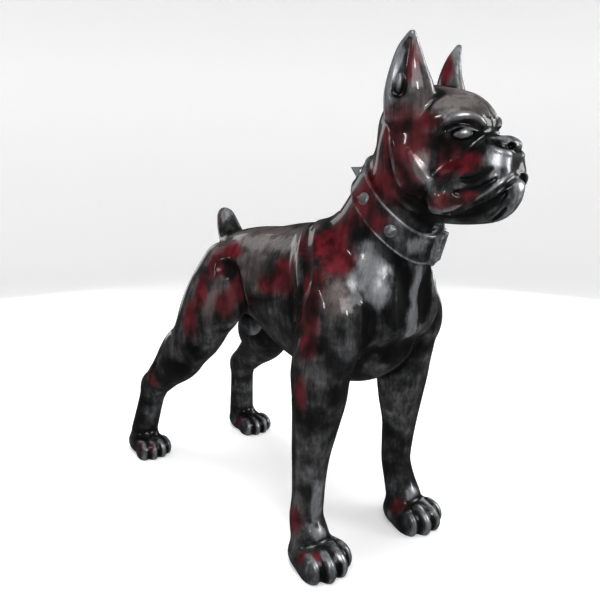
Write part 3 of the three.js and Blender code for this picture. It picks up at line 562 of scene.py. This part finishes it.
def drawnSurface(axes, values):
    # one vertex in each cell that the surface crosses, and one four-sided face for each crossed grid line
    inside = values < 0
    corners = [(n & 1, n >> 1 & 1, n >> 2) for n in range(8)]
    cells = tuple(size - 1 for size in values.shape)

    def shifted(array, corner):
        return array[tuple(slice(c, c + size) for c, size in zip(corner, cells))]

    total = sum(shifted(inside, corner).astype(np.int8) for corner in corners)
    active = (total > 0) & (total < 8)
    cell = np.argwhere(active)
    number = np.full(cells, -1, np.int64)
    number[active] = np.arange(len(cell))
    value = [values[tuple((cell + corner).T)] for corner in corners]
    place = np.zeros((len(cell), 3), np.float32)
    crossings = np.zeros(len(cell), np.float32)
    for a in range(8):
        for bit in (1, 2, 4):
            if a & bit:
                continue
            va, vb = value[a], value[a | bit]
            crossed = (va < 0) != (vb < 0)
            t = np.where(crossed, va / np.where(crossed, va - vb, 1), 0)
            start, way = np.array(corners[a]), np.array(corners[a | bit]) - np.array(corners[a])
            place += np.where(crossed[:, None], start + t[:, None] * way, 0)
            crossings += crossed
    place /= crossings[:, None]
    points = np.stack([
        axis[cell[:, k]] + place[:, k] * (axis[cell[:, k] + 1] - axis[cell[:, k]])
        for k, axis in enumerate(axes)
    ], 1)
    faces = []
    for axis in range(3):
        one = np.eye(3, dtype=int)[axis]
        b, c = np.eye(3, dtype=int)[(axis + 1) % 3], np.eye(3, dtype=int)[(axis + 2) % 3]
        start = shifted(inside, (0, 0, 0))
        crossed = np.argwhere(start != shifted(inside, one))
        crossed = crossed[(crossed >= 1).all(1)]
        ring = np.stack([number[tuple((crossed - offset).T)] for offset in (0 * one, b, b + c, c)], 1)
        outward = start[tuple(crossed.T)]
        faces.append(np.where(outward[:, None], ring, ring[:, ::-1]))
    return points, np.concatenate(faces)


def makeMesh(name, points, faces):
    # points in the sculpture's millimetres
    mesh = bpy.data.meshes.new(name)
    mesh.from_pydata((points * mm).tolist(), [], faces)
    piece = bpy.data.objects.new(name, mesh)
    bpy.context.scene.collection.objects.link(piece)
    return piece


def thinned(piece, triangles):
    # folds up the edges that change the form least, and gives back the mesh as points and triangles
    tool = piece.modifiers.new("thin", "DECIMATE")
    tool.ratio = min(1, triangles / (2 * len(piece.data.polygons)))
    piece.modifiers.new("triangles", "TRIANGULATE")
    mesh = piece.evaluated_get(bpy.context.evaluated_depsgraph_get()).to_mesh()
    points = np.empty(len(mesh.vertices) * 3, np.float32)
    mesh.vertices.foreach_get("co", points)
    corners = np.empty(len(mesh.loops), np.int32)
    mesh.loops.foreach_get("vertex_index", corners)
    bpy.data.objects.remove(piece)
    return points.reshape(-1, 3) / mm, corners.reshape(-1, 3)


def within(points, patches):
    # how far into the patches each point is: 1 well inside one, and 0 at 1.4 of its radii and beyond
    most = np.zeros(len(points), np.float32)
    for x, y, z, *radii in patches:
        away = np.linalg.norm((points - (x, y, z)) / np.array(radii), axis=1)
        most = np.maximum(most, np.clip(patinaAndPaintedLight["patchReach"] - away, 0, 1))
    return most


def lookedOver(points, normals):
    # the marks on the dog: how hollow and rounded it is, from the field round the surface, and its patches;
    # hollow and deep drive the painted shade, and hollow takes in the painted shade places too
    near, far = dog["hollowReach"], dog["deepReach"]
    # painted shade: the places where shadow falls count as hollow
    paintedShade = within(points, patinaAndPaintedLight["paintedShadePlaces"]) * patinaAndPaintedLight["paintedShadeShare"]
    return {
        "hollow": 1 - distanceTo(points + normals * near) / near + paintedShade,
        "deep": 1 - distanceTo(points + normals * far) / far,
        "swell": slopeAt(points, dog["swellProbe"])[1] / dog["swellUnit"],
        "red": within(points, patinaAndPaintedLight["patches"]),
        "bright": within(points, patinaAndPaintedLight["rubAndSheenPlaces"]),
        "warm": within(points, patinaAndPaintedLight["warmHazeAndSheenPlaces"]),
    }


def finishPiece(piece, normals=None, marks=None):
    # smooth shading with the field's own normals, the marks for the patina and its painted shade and sheen,
    # and the ride on the solid's body
    mesh = piece.data
    mesh.polygons.foreach_set("use_smooth", np.ones(len(mesh.polygons), bool))
    for mark, values in (marks or {}).items():
        mesh.attributes.new(mark, "FLOAT", "POINT").data.foreach_set("value", values.astype(np.float32))
    if normals is not None:
        mesh.normals_split_custom_set_from_vertices(normals.tolist())
    mesh.update()
    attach(piece, "root")
    return piece


# colours of the patina and its painted light, and the places for the red glaze, the silver rub, the painted
# shade and the painted sheen
patinaAndPaintedLight = {
    "black": (0.002, 0.0022, 0.0024, 1),
    "graphite": (0.018, 0.018, 0.019, 1),
    "grey": (0.070, 0.071, 0.074, 1),
    # the warm grey and the silvers serve both the patina and its painted sheen and highlights
    "warmGreyAndSheen": (0.155, 0.120, 0.115, 1),
    "silverAndSheen": (0.76, 0.79, 0.83, 1),
    "warmSilverAndSheen": (0.60, 0.54, 0.51, 1),
    "darkRed": (0.016, 0.0004, 0.001, 1),
    "red": (0.125, 0.004, 0.010, 1),
    "coatRoughness": 0.09,
    "patchReach": 1.4,        # in radii
    "paintedShadeShare": 0.7,
    # glazed red patches: [x, y, z, radius along, radius across, radius up] in the sculpture's millimetres
    "patches": [
        # cheek and muzzle
        [130, -70, 748, 50, 40, 52], [122, -60, 690, 42, 36, 36], [168, -52, 776, 26, 24, 12],
        [196, -36, 716, 16, 26, 34], [225, -34, 716, 24, 26, 19], [208, -56, 660, 34, 26, 14],
        [236, -46, 668, 18, 20, 10], [121, 80, 748, 50, 40, 52], [110, 72, 690, 38, 36, 36],
        [208, 62, 712, 30, 26, 26],
        # neck and collar
        [74, -62, 696, 28, 40, 40], [56, -76, 650, 40, 40, 36], [5, -64, 622, 40, 40, 30],
        [86, -78, 626, 26, 30, 22], [-10, -84, 580, 44, 46, 40], [22, -90, 556, 40, 40, 34],
        [62, 66, 650, 40, 40, 54], [20, 70, 590, 40, 40, 40],
        # shoulder and fore leg
        [4, -124, 510, 28, 40, 46], [2, -136, 452, 34, 40, 60], [14, -150, 418, 22, 30, 22],
        [6, -160, 336, 16, 18, 36], [-14, 124, 490, 34, 40, 80], [30, 124, 380, 20, 30, 50],
        [24, 84, 42, 20, 16, 22], [21, -168, 36, 12, 10, 18], [40, -152, 38, 12, 9, 16],
        [-20, -150, 84, 20, 16, 30],
        # flank, rump and thigh
        [-78, -96, 560, 22, 40, 40], [-112, -100, 520, 46, 40, 36], [-160, -106, 496, 34, 40, 26],
        [-308, -84, 545, 34, 40, 22], [-336, -110, 512, 24, 40, 34], [-359, -133, 460, 20, 40, 46],
        [-380, -150, 396, 22, 40, 46], [-286, -94, 470, 18, 40, 34], [-309, -101, 431, 20, 40, 34],
        [-160, 96, 530, 80, 40, 40], [-350, 118, 430, 34, 44, 80], [-470, -16, 596, 14, 22, 34],
        # hind legs
        [-574, 102, 30, 14, 14, 20], [-594, -191, 30, 12, 12, 20], [-568, -168, 32, 10, 9, 18],
        [-555, -165, 218, 22, 20, 28], [-470, 118, 300, 30, 40, 40],
        # ears
        [143, -58, 858, 10, 16, 32], [114, 56, 864, 18, 20, 34],
    ],
    # painted shade, places kept dark where shadow falls: nostrils, behind the eyes, under the cheeks, flanks,
    # thigh, round the breasts
    "paintedShadePlaces": [
        [268, 10, 738, 8, 6, 6], [263, 42, 738, 8, 6, 6],
        [176, -50, 747, 22, 14, 10], [170, 66, 747, 22, 14, 10], [137, -41, 662, 26, 20, 18],
        [151, -30, 648, 34, 26, 18], [254, -22, 654, 26, 20, 18], [250, 40, 654, 26, 20, 18],
        [-308, -87, 502, 22, 20, 26], [-282, -85, 476, 22, 20, 34], [-262, -83, 440, 20, 20, 34],
        [112, -36, 520, 12, 12, 46], [116, -56, 480, 14, 18, 34], [112, 20, 510, 12, 16, 46],
        [96, 0, 400, 40, 60, 30], [104, -47, 586, 40, 30, 24], [88, -60, 606, 28, 26, 20],
        [90, -86, 470, 16, 10, 26], [-389, -147, 320, 34, 26, 34], [-450, -150, 262, 60, 30, 34],
    ],
    # places rubbed silver, which also carry painted sheen and highlights: breasts and breast bone, cheek
    # ridges, muzzle, brow, back, tail and toes
    "rubAndSheenPlaces": [
        [76, -66, 556, 38, 30, 40], [98, -72, 516, 24, 24, 34], [66, -80, 536, 24, 24, 34],
        [104, 54, 524, 24, 24, 50], [119, -8, 522, 16, 12, 40], [114, -6, 468, 18, 14, 36],
        [164, -60, 714, 9, 12, 22], [171, -48, 690, 9, 12, 14], [154, 76, 712, 12, 12, 30],
        [264, -16, 720, 20, 22, 14], [278, 14, 690, 14, 16, 10], [205, -40, 784, 26, 14, 9],
        [122, -68, 862, 12, 10, 26], [252, -8, 752, 16, 20, 6], [190, -24, 802, 32, 30, 12],
        [-240, -60, 564, 60, 30, 16], [-150, -70, 572, 40, 30, 16],
        [133, -21, 592, 14, 20, 18],
        [-446, -8, 612, 12, 14, 22], [26, -124, 62, 12, 14, 24], [34, 112, 70, 10, 14, 22],
        [22, -148, 48, 9, 8, 12], [52, -138, 44, 9, 8, 12], [62, -115, 36, 9, 8, 12],
        [10, -124, 128, 6, 14, 60], [24, 96, 44, 9, 8, 14], [56, 116, 40, 9, 8, 12],
        [-578, -150, 34, 9, 8, 12], [-545, 126, 34, 9, 8, 12],
    ],
    # a warm grey haze, which on the back and the head's top is also painted sheen: the back, the flanks and
    # the head's top
    "warmHazeAndSheenPlaces": [
        [-283, -40, 570, 70, 60, 34], [-190, -40, 575, 90, 70, 34], [-110, -40, 590, 60, 60, 34],
        [-220, -90, 520, 70, 40, 40], [-349, -60, 556, 50, 50, 34], [180, 0, 806, 74, 74, 36],
        [-230, 80, 540, 110, 60, 60], [150, -62, 716, 24, 16, 34], [50, -122, 500, 22, 26, 36],
        [-322, -110, 474, 11, 20, 30], [-329, -120, 442, 11, 20, 30], [-336, -130, 408, 12, 20, 34],
    ],
}


axes, values = sampleField()
surface, quads = drawnSurface(axes, values)
dog["refined"] = True
print("sculpture:", len(surface), "points and", len(quads), "faces")
surface, triangles = thinned(makeMesh("block", settle(surface, 1), quads.tolist()), dog["triangles"])
surface = settle(surface, 2)
slope, _ = slopeAt(surface)
normals = slope / np.maximum(np.linalg.norm(slope, axis=1), 1e-6)[:, None]
marks = lookedOver(surface, normals)
sole = surface[:, 2] <= 0
surface[sole, 2] = 0
normals[sole] = (0, 0, -1)

# The statue's middle is over the origin, as the solid's is.
cadMiddle = (cadLow + cadHigh) / 2
middle = (surface.min(0) + surface.max(0)) / 2
shift = np.array([cadMiddle.x / mm - middle[0], cadMiddle.y / mm - middle[1], 0], np.float32)
boxer = finishPiece(makeMesh("boxer", surface + shift, triangles.tolist()), normals, marks)
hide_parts("boxer_statue")
print("boxer:", len(boxer.data.polygons), "triangles")

# The collar lies in a plane tilted forward about the neck. Angle 0 is at the throat.

collar = {
    "tilt": 45,
    "centre": (71, 0, 650),
    "width": 46,
    "thickness": 7,
    "sunk": 6,                # the strap and what is on it go this far into the neck
    "edge": 2.2,              # roundness of the strap's edges
    "rim": 4.0,               # width of the raised rim at each edge
    "rimHeight": 0.9,
    "around": 150,
    "studAngles": (48, 103, 153),    # on each side
    "studRadius": 10.5,
    "studHeight": 17,
    "studSides": 6,
    "buckleAngle": 13,
    "buckleWidth": 36,        # around the neck
    "buckleHeight": 52,       # across the strap
    "buckleBar": 9,
    "buckleThickness": 7,
    "prong": 6,
    "barRounding": 1.9,
    "searchFrom": 20,         # the neck's surface is looked for from here outwards
    "searchRounds": 40,
}
collarTilt = math.radians(collar["tilt"])
collarAxis = np.array([math.sin(collarTilt), 0, math.cos(collarTilt)])
collarFront = np.array([math.cos(collarTilt), 0, -math.sin(collarTilt)])


def strapPoints(angles, across):
    # points of the strap's outer face: across is -1 at its lower edge and 1 at its upper edge
    out = np.outer(np.cos(angles), collarFront) + np.outer(np.sin(angles), [0, 1, 0])
    level = np.array(collar["centre"]) + np.outer(across, collarAxis) * collar["width"] / 2
    point = level + out * collar["searchFrom"]
    for _ in range(collar["searchRounds"]):
        point += out * np.maximum(-distanceTo(point), 0)[:, None]
    return point + out * collar["thickness"], out


def makeStrap():
    count = collar["around"]
    angles = np.arange(count) / count * 2 * math.pi
    low, out = strapPoints(angles, np.full(count, -1.0))
    high, _ = strapPoints(angles, np.full(count, 1.0))
    half, edge, rim = collar["width"] / 2, collar["edge"], collar["rim"]
    deep = collar["thickness"] + collar["sunk"]
    upper = [(half, -deep), (half, -edge - 2)]
    for a in np.radians([0, 22, 45, 68, 90]):
        upper.append((half - edge + edge * math.cos(a), edge * (math.sin(a) - 1)))
    for t in np.linspace(0.15, 1, 6):
        upper.append((half - edge - (rim - edge) * t, -collar["rimHeight"] * (1 - math.cos(math.pi * t)) / 2))
    flat = [(half * t, -collar["rimHeight"]) for t in (0.6, 0.3, 0)]
    outline = upper + flat
    outline += [(-u, h) for u, h in reversed(outline[:-1])]
    rows = []
    for u, h in outline:
        share = u / collar["width"] + 0.5
        rows.append(low + (high - low) * share + out * h)
    points = np.stack(rows, 1).reshape(-1, 3)
    wide = len(outline)
    faces = []
    for i in range(count):
        here, after = i * wide, (i + 1) % count * wide
        for j in range(wide):
            k = (j + 1) % wide
            faces.append((here + j, here + k, after + k, after + j))
    # the raised rims get silver rub and a painted highlight along the strap's edges
    rimRubAndHighlight = [0.9 if abs(u) > half - rim and h > -3 else 0.35 for u, h in outline]
    return makeMesh("collar_strap", points + shift, faces), np.tile(rimRubAndHighlight, count)


def onStrap(points, angle, lift):
    # stands points on the strap's middle line: x around the neck, y up the strap and z out of it
    near = np.array([angle, angle, angle + 0.05, angle - 0.05])
    (low, high, after, before), _ = strapPoints(near, np.array([-1.0, 1.0, 0, 0]))
    up = (high - low) / np.linalg.norm(high - low)
    around = (after - before) / np.linalg.norm(after - before)
    out = np.cross(around, up)
    out /= np.linalg.norm(out)
    side = np.cross(up, out)
    return (low + high) / 2 + out * lift + points @ np.stack([side, up, out])


def makeStud(name, angle):
    # a cut point with flat sides on a round foot
    sides, radius, height = collar["studSides"], collar["studRadius"], collar["studHeight"]
    around = 48
    rings = [(1.0, -collar["sunk"]), (1.0, 0.0), (0.97, 1.1), (0.9, 1.9), (0.0, height)]
    points = [(0, 0, -collar["sunk"])]
    for share, z in rings[:-1]:
        cut = (height - z) / (height + 2)
        for i in range(around):
            a = i / around * 2 * math.pi
            flat = math.cos(math.pi / sides) / math.cos((a % (2 * math.pi / sides)) - math.pi / sides)
            size = radius * share * (1 if z < 1.5 else flat * min(1, cut + 0.12))
            points.append((size * math.cos(a), size * math.sin(a), z))
    points.append((0, 0, height))
    faces = [(0, 1 + (i + 1) % around, 1 + i) for i in range(around)]
    for ring in range(len(rings) - 2):
        start = 1 + ring * around
        for i in range(around):
            j = (i + 1) % around
            faces.append((start + i, start + j, start + around + j, start + around + i))
    last = 1 + (len(rings) - 2) * around
    faces += [(last + i, last + (i + 1) % around, len(points) - 1) for i in range(around)]
    return makeMesh(name, onStrap(np.array(points), angle, -collar["rimHeight"]) + shift, faces)


def makeBuckle():
    # a frame of rounded bars with its prong lying across
    width, height, bar = collar["buckleWidth"], collar["buckleHeight"], collar["buckleBar"]
    deep = collar["buckleThickness"] + collar["sunk"]
    mesh = bpy.data.meshes.new("buckle")
    build = bmesh.new()
    side, end = (width - bar) / 2, (height - bar) / 2
    bars = [
        (-side, 0, bar, height, deep), (side, 0, bar, height, deep),
        (0, -end, width - bar, bar, deep - 0.6), (0, end, width - bar, bar, deep - 0.6),
        (0, 0, width - bar, collar["prong"], deep - 1.5),
        (-side, 0, bar + 3, collar["prong"] + 4, deep + 1.2),
    ]
    for x, y, across, tall, thick in bars:
        made = bmesh.ops.create_cube(build, size=1)["verts"]
        place = Matrix.Translation((x, y, thick / 2)) @ Matrix.Diagonal((across, tall, thick, 1))
        bmesh.ops.transform(build, matrix=place, verts=made)
        edges = list({edge for vert in made for edge in vert.link_edges})
        rounding = {"offset": collar["barRounding"], "segments": 4, "profile": 0.5, "affect": "EDGES"}
        bmesh.ops.bevel(build, geom=edges, **rounding)
    build.to_mesh(mesh)
    build.free()
    points = np.array([v.co for v in mesh.vertices])
    placedPoints = onStrap(points, math.radians(collar["buckleAngle"]), -collar["sunk"]) + shift
    for vert, point in zip(mesh.vertices, placedPoints):
        vert.co = point * mm
    piece = bpy.data.objects.new("collar_buckle", mesh)
    bpy.context.scene.collection.objects.link(piece)
    return piece


def finishFitting(piece, swell, rubbed=0.0):
    # a collar piece has marks of its own for the form, and the dog's red patches and its patches of silver
    # rub and painted sheen; rubbed adds silver rub and painted highlight all over
    points = np.array([vert.co for vert in piece.data.vertices]) / mm - shift
    even = np.zeros(len(points), np.float32)
    red = within(points, patinaAndPaintedLight["patches"]) * (1 - rubbed)
    bright = within(points, patinaAndPaintedLight["rubAndSheenPlaces"]) + rubbed
    marks = {"hollow": even, "deep": even, "swell": even + swell, "red": red, "bright": bright, "warm": even}
    return finishPiece(piece, None, marks)


strapPiece, rimRubAndHighlight = makeStrap()
strap = finishFitting(strapPiece, rimRubAndHighlight)
studs = []
for number, degrees in enumerate(collar["studAngles"]):
    for side, name in ((-1, "right"), (1, "left")):
        studPiece = makeStud(f"collar_stud_{name}_{number + 1}", math.radians(degrees) * side)
        # the studs are rubbed silver all over, which also paints their highlight
        stud = finishFitting(studPiece, 1.6, 1.0)
        stud.data.polygons.foreach_set("use_smooth", np.zeros(len(stud.data.polygons), bool))
        studs.append(stud)
# the buckle is partly rubbed silver, which also paints some highlight
buckle = finishFitting(makeBuckle(), 0.9, 0.35)
print("collar: strap,", len(studs), "studs and buckle")

# Materials: expressions on sockets add their own nodes.


class Wire:
    def __init__(self, tree, socket):
        self.tree, self.socket = tree, socket

    def node(self, kind, settings=None, inputs=None, output=0):
        made = self.tree.nodes.new(kind)
        for name, value in (settings or {}).items():
            if name == "stops":
                stops = made.color_ramp.elements
                while len(stops) < len(value):
                    stops.new(0.5)
                for stop, (place, colour) in zip(stops, value):
                    stop.position, stop.color = place, (*colour, 1)
            else:
                setattr(made, name, value)
        for name, value in (inputs or {}).items():
            if isinstance(value, Wire):
                self.tree.links.new(value.socket, made.inputs[name])
            else:
                made.inputs[name].default_value = value
        return Wire(self.tree, made.outputs[output] if len(made.outputs) else None)

    def math(self, operation, a, b, clamp=False):
        return self.node("ShaderNodeMath", {"operation": operation, "use_clamp": clamp}, {0: a, 1: b})

    def __add__(self, other): return self.math("ADD", self, other)
    def __radd__(self, other): return self.math("ADD", other, self)
    def __sub__(self, other): return self.math("SUBTRACT", self, other)
    def __rsub__(self, other): return self.math("SUBTRACT", other, self)
    def __mul__(self, other): return self.math("MULTIPLY", self, other)

    def kept(self):
        return self.math("MULTIPLY", self, 1.0, clamp=True)

    def between(self, low, high):
        smooth = {"interpolation_type": "SMOOTHSTEP"}
        return self.node("ShaderNodeMapRange", smooth, {0: self, 1: low, 2: high})

    def mixed(self, start, end):
        # colours, this value being the share of the second
        return self.node("ShaderNodeMix", {"data_type": "RGBA"}, {0: self, 6: start, 7: end}, 2)


def newMaterial(name):
    material = bpy.data.materials.new(name)
    material.use_nodes = True
    tree = material.node_tree
    tree.nodes.clear()
    return material, Wire(tree, None)


def patinaAndPaintedLightMaterial(name, silverGain=1.0):
    # the patina, with painted shade in creases and hollows and painted sheen on the breasts, back and head
    material, at = newMaterial(name)
    place = at.node("ShaderNodeTexCoord", output=3)

    def mark(label):
        return at.node("ShaderNodeAttribute", {"attribute_name": label}, output=2)

    def noise(scale, detail, stretch=(1, 1, 1), rough=0.55, offset=(0, 0, 0)):
        moved = at.node("ShaderNodeMapping", {}, {"Vector": place, "Scale": stretch, "Location": offset})
        inputs = {"Vector": moved, "Scale": scale, "Detail": detail, "Roughness": rough}
        return at.node("ShaderNodeTexNoise", {}, inputs)

    cloud = noise(8, 4)
    blotch = noise(30, 5, offset=(3, 1, 2))
    streak = noise(90, 5, (1, 1, 0.14), 0.65)
    grain = noise(300, 3, (1, 1, 0.3), 0.6)
    swell = mark("swell")
    ridge = swell.between(0.2, 1.6)
    crease = (0 - swell).between(-0.12, 0.6)
    rubbed = (streak * 0.5 + blotch * 0.3 + grain * 0.2).between(0.38, 0.62)
    # silver rub and painted sheen where the sheen places are
    bright = (mark("bright") * 1.1 + (streak - 0.5) * 0.9 + (blotch - 0.5) * 0.8).between(0.1, 1.1)
    # a warm grey haze, partly painted sheen on the back and the head's top
    warm = (mark("warm") * 1.2 + (blotch - 0.5) * 0.7).between(0.0, 1.0)
    cloudy = (cloud * 0.6 + blotch * 0.4).between(0.36, 0.64)
    # painted shade: creases and hollows darkened towards black, with darker mottling of the black where
    # nothing is rubbed
    shade = crease * 0.95 + mark("hollow").between(0.05, 0.65) * 0.9 + mark("deep").between(0.2, 0.8) * 0.6
    shade = (shade + (1 - cloudy) * (1 - ridge) * (1 - warm * 0.6) * (1 - bright) * 0.8).kept()
    washAndSheen = (cloudy * (0.2 + rubbed * 0.7) + warm * 0.55).kept()
    # silver rub on ridges and in the noise, with painted sheen and highlights from the sheen places
    silverAndSheen = (ridge * (0.1 + rubbed * 0.6) + bright * (0.4 + rubbed * 0.55) + washAndSheen * rubbed * 0.13).kept()
    silverAndSheen = (silverAndSheen * (1 - shade * 0.9) * silverGain).kept()
    # the haze lightens the back and the head's top, partly as painted sheen
    hazeAndSheen = (warm * 0.8 + (cloud - 0.45) * 1.2).kept().mixed(patinaAndPaintedLight["grey"], patinaAndPaintedLight["warmGreyAndSheen"])
    colour = washAndSheen.mixed(patinaAndPaintedLight["graphite"], hazeAndSheen)
    # the painted shade darkens the colour towards black
    colour = (shade * 0.95).mixed(colour, patinaAndPaintedLight["black"])
    colour = silverAndSheen.mixed(colour, (warm * 0.9).mixed(patinaAndPaintedLight["silverAndSheen"], patinaAndPaintedLight["warmSilverAndSheen"]))
    glaze = (mark("red") * 1.25 + (blotch - 0.5) * 0.9 + (streak - 0.5) * 0.5).between(0.1, 1.1)
    glaze = glaze * (1 - silverAndSheen * 0.5)
    tint = (blotch * 0.5 + streak * 0.3 + cloud * 0.2).between(0.4, 0.62)
    tint = tint.mixed(patinaAndPaintedLight["darkRed"], patinaAndPaintedLight["red"])
    colour = glaze.mixed(colour, tint)
    rough = 0.38 - silverAndSheen * 0.06 + grain * 0.1
    bump = at.node("ShaderNodeBump", {}, {
        "Height": streak * 0.3 + grain * 0.2 + blotch * 0.4, "Strength": 0.07, "Distance": 0.002,
    })
    shader = at.node("ShaderNodeBsdfPrincipled", {}, {
        "Base Color": colour, "Metallic": (0.6 + silverAndSheen * 0.35 - glaze * 0.45).kept(), "Roughness": rough,
        "Coat Weight": 1.0, "Coat Roughness": patinaAndPaintedLight["coatRoughness"], "Normal": bump,
    })
    at.node("ShaderNodeOutputMaterial", {}, {"Surface": shader})
    return material


boxer.data.materials.append(patinaAndPaintedLightMaterial("patinatedBlackAndPaintedLight"))
strap.data.materials.append(patinaAndPaintedLightMaterial("collarPatinaAndPaintedLight", 1.2))
# the studs and the buckle take more silver, partly as painted highlight
metalPatinaAndSheen = patinaAndPaintedLightMaterial("studPatinaAndPaintedLight", 1.8)
buckle.data.materials.append(metalPatinaAndSheen)
for stud in studs:
    stud.data.materials.append(metalPatinaAndSheen)
print("materials done")

# Stage, lights and camera.

studio = {
    "cameraAt": (752.0, -774.0, 691.0),   # in the sculpture's millimetres
    "heading": (-0.772, 0.636),
    "pitchDown": 11.29,
    "focalPixels": 601,
    "imagePixels": 600,
    "floorRadius": 3.4,
    "coveRadius": 1.6,
    "coveHeight": 2.6,
    # [name, place, size across, size along, power]: panels that look at the dog's middle
    "lights": [
        ["top", (0.1, -0.2, 2.9), 2.4, 1.8, 105],
        ["softFront", (1.9, -1.2, 2.3), 1.6, 1.3, 18],
        ["softLeft", (1.7, 1.9, 1.6), 0.8, 1.5, 16],
        ["rimLeft", (-2.7, 0.2, 1.0), 0.9, 1.7, 5],
        ["rimRight", (-0.7, 2.6, 1.0), 0.9, 1.7, 7],
        ["windowFront", (2.3, -1.4, 1.9), 0.14, 0.5, 6],
        ["windowLeft", (2.3, 1.7, 1.4), 0.16, 1.0, 9],
        ["windowSide", (-0.6, -2.6, 1.5), 0.1, 0.35, 2.5],
    ],
    "unmirrored": ["top"],   # this panel lights the room but isn't seen in the gloss
    "roomLight": 0.035,
    "aim": (0, 0, 0.45),
}


def makeCamera():
    data = bpy.data.cameras.new("camera")
    data.sensor_width = 36
    data.lens = 36 * studio["focalPixels"] / studio["imagePixels"]
    camera = bpy.data.objects.new("camera", data)
    camera.location = [float(v) for v in (np.array(studio["cameraAt"]) + shift) * mm]
    pitch = math.radians(studio["pitchDown"])
    ahead = Vector((*studio["heading"], 0)).normalized()
    view = ahead * math.cos(pitch) - Vector((0, 0, math.sin(pitch)))
    camera.rotation_euler = view.to_track_quat("-Z", "Y").to_euler()
    bpy.context.scene.collection.objects.link(camera)
    bpy.context.scene.camera = camera


def makeStage():
    # a round floor that turns up into a low wall all the way about
    around = 96
    outline = [(0.02, 0), (studio["floorRadius"] * 0.5, 0), (studio["floorRadius"], 0)]
    for a in np.radians(np.linspace(10, 90, 9)):
        outline.append((
            studio["floorRadius"] + studio["coveRadius"] * math.sin(a),
            studio["coveRadius"] * (1 - math.cos(a)),
        ))
    outline.append((studio["floorRadius"] + studio["coveRadius"], studio["coveHeight"]))
    points = [
        (r * math.cos(i / around * 2 * math.pi), r * math.sin(i / around * 2 * math.pi), z)
        for r, z in outline for i in range(around)
    ]
    faces = [tuple(range(around))]
    for ring in range(len(outline) - 1):
        for i in range(around):
            j = (i + 1) % around
            start = ring * around
            faces.append((start + i, start + around + i, start + around + j, start + j))
    floor = makeMesh("floor", np.array(points) / mm, faces)
    floor.data.polygons.foreach_set("use_smooth", np.ones(len(faces), bool))
    material, at = newMaterial("paleFloor")
    shader = at.node("ShaderNodeBsdfPrincipled", {}, {
        "Base Color": (0.9, 0.9, 0.9, 1), "Roughness": 0.7, "Specular IOR Level": 0.2,
        "Emission Color": (1, 1, 1, 1), "Emission Strength": 0.28,
    })
    at.node("ShaderNodeOutputMaterial", {}, {"Surface": shader})
    floor.data.materials.append(material)
    floor.visible_glossy = False   # the gloss mirrors a darker room than the pale floor


def makeLights():
    for name, place, across, tall, power in studio["lights"]:
        data = bpy.data.lights.new(name, "AREA")
        data.shape, data.size, data.size_y, data.energy = "RECTANGLE", across, tall, power
        light = bpy.data.objects.new(name, data)
        light.location = place
        light.rotation_euler = (Vector(studio["aim"]) - Vector(place)).to_track_quat("-Z", "Y").to_euler()
        light.visible_camera = False
        light.visible_glossy = name not in studio["unmirrored"]
        bpy.context.scene.collection.objects.link(light)
    world = bpy.data.worlds.new("studio")
    world.use_nodes = True
    world.node_tree.nodes["Background"].inputs[0].default_value = (1, 1, 1, 1)
    world.node_tree.nodes["Background"].inputs[1].default_value = studio["roomLight"]
    bpy.context.scene.world = world
    bpy.context.scene.view_settings.view_transform = "Standard"


makeCamera()
makeStage()
makeLights()
print("studio done")
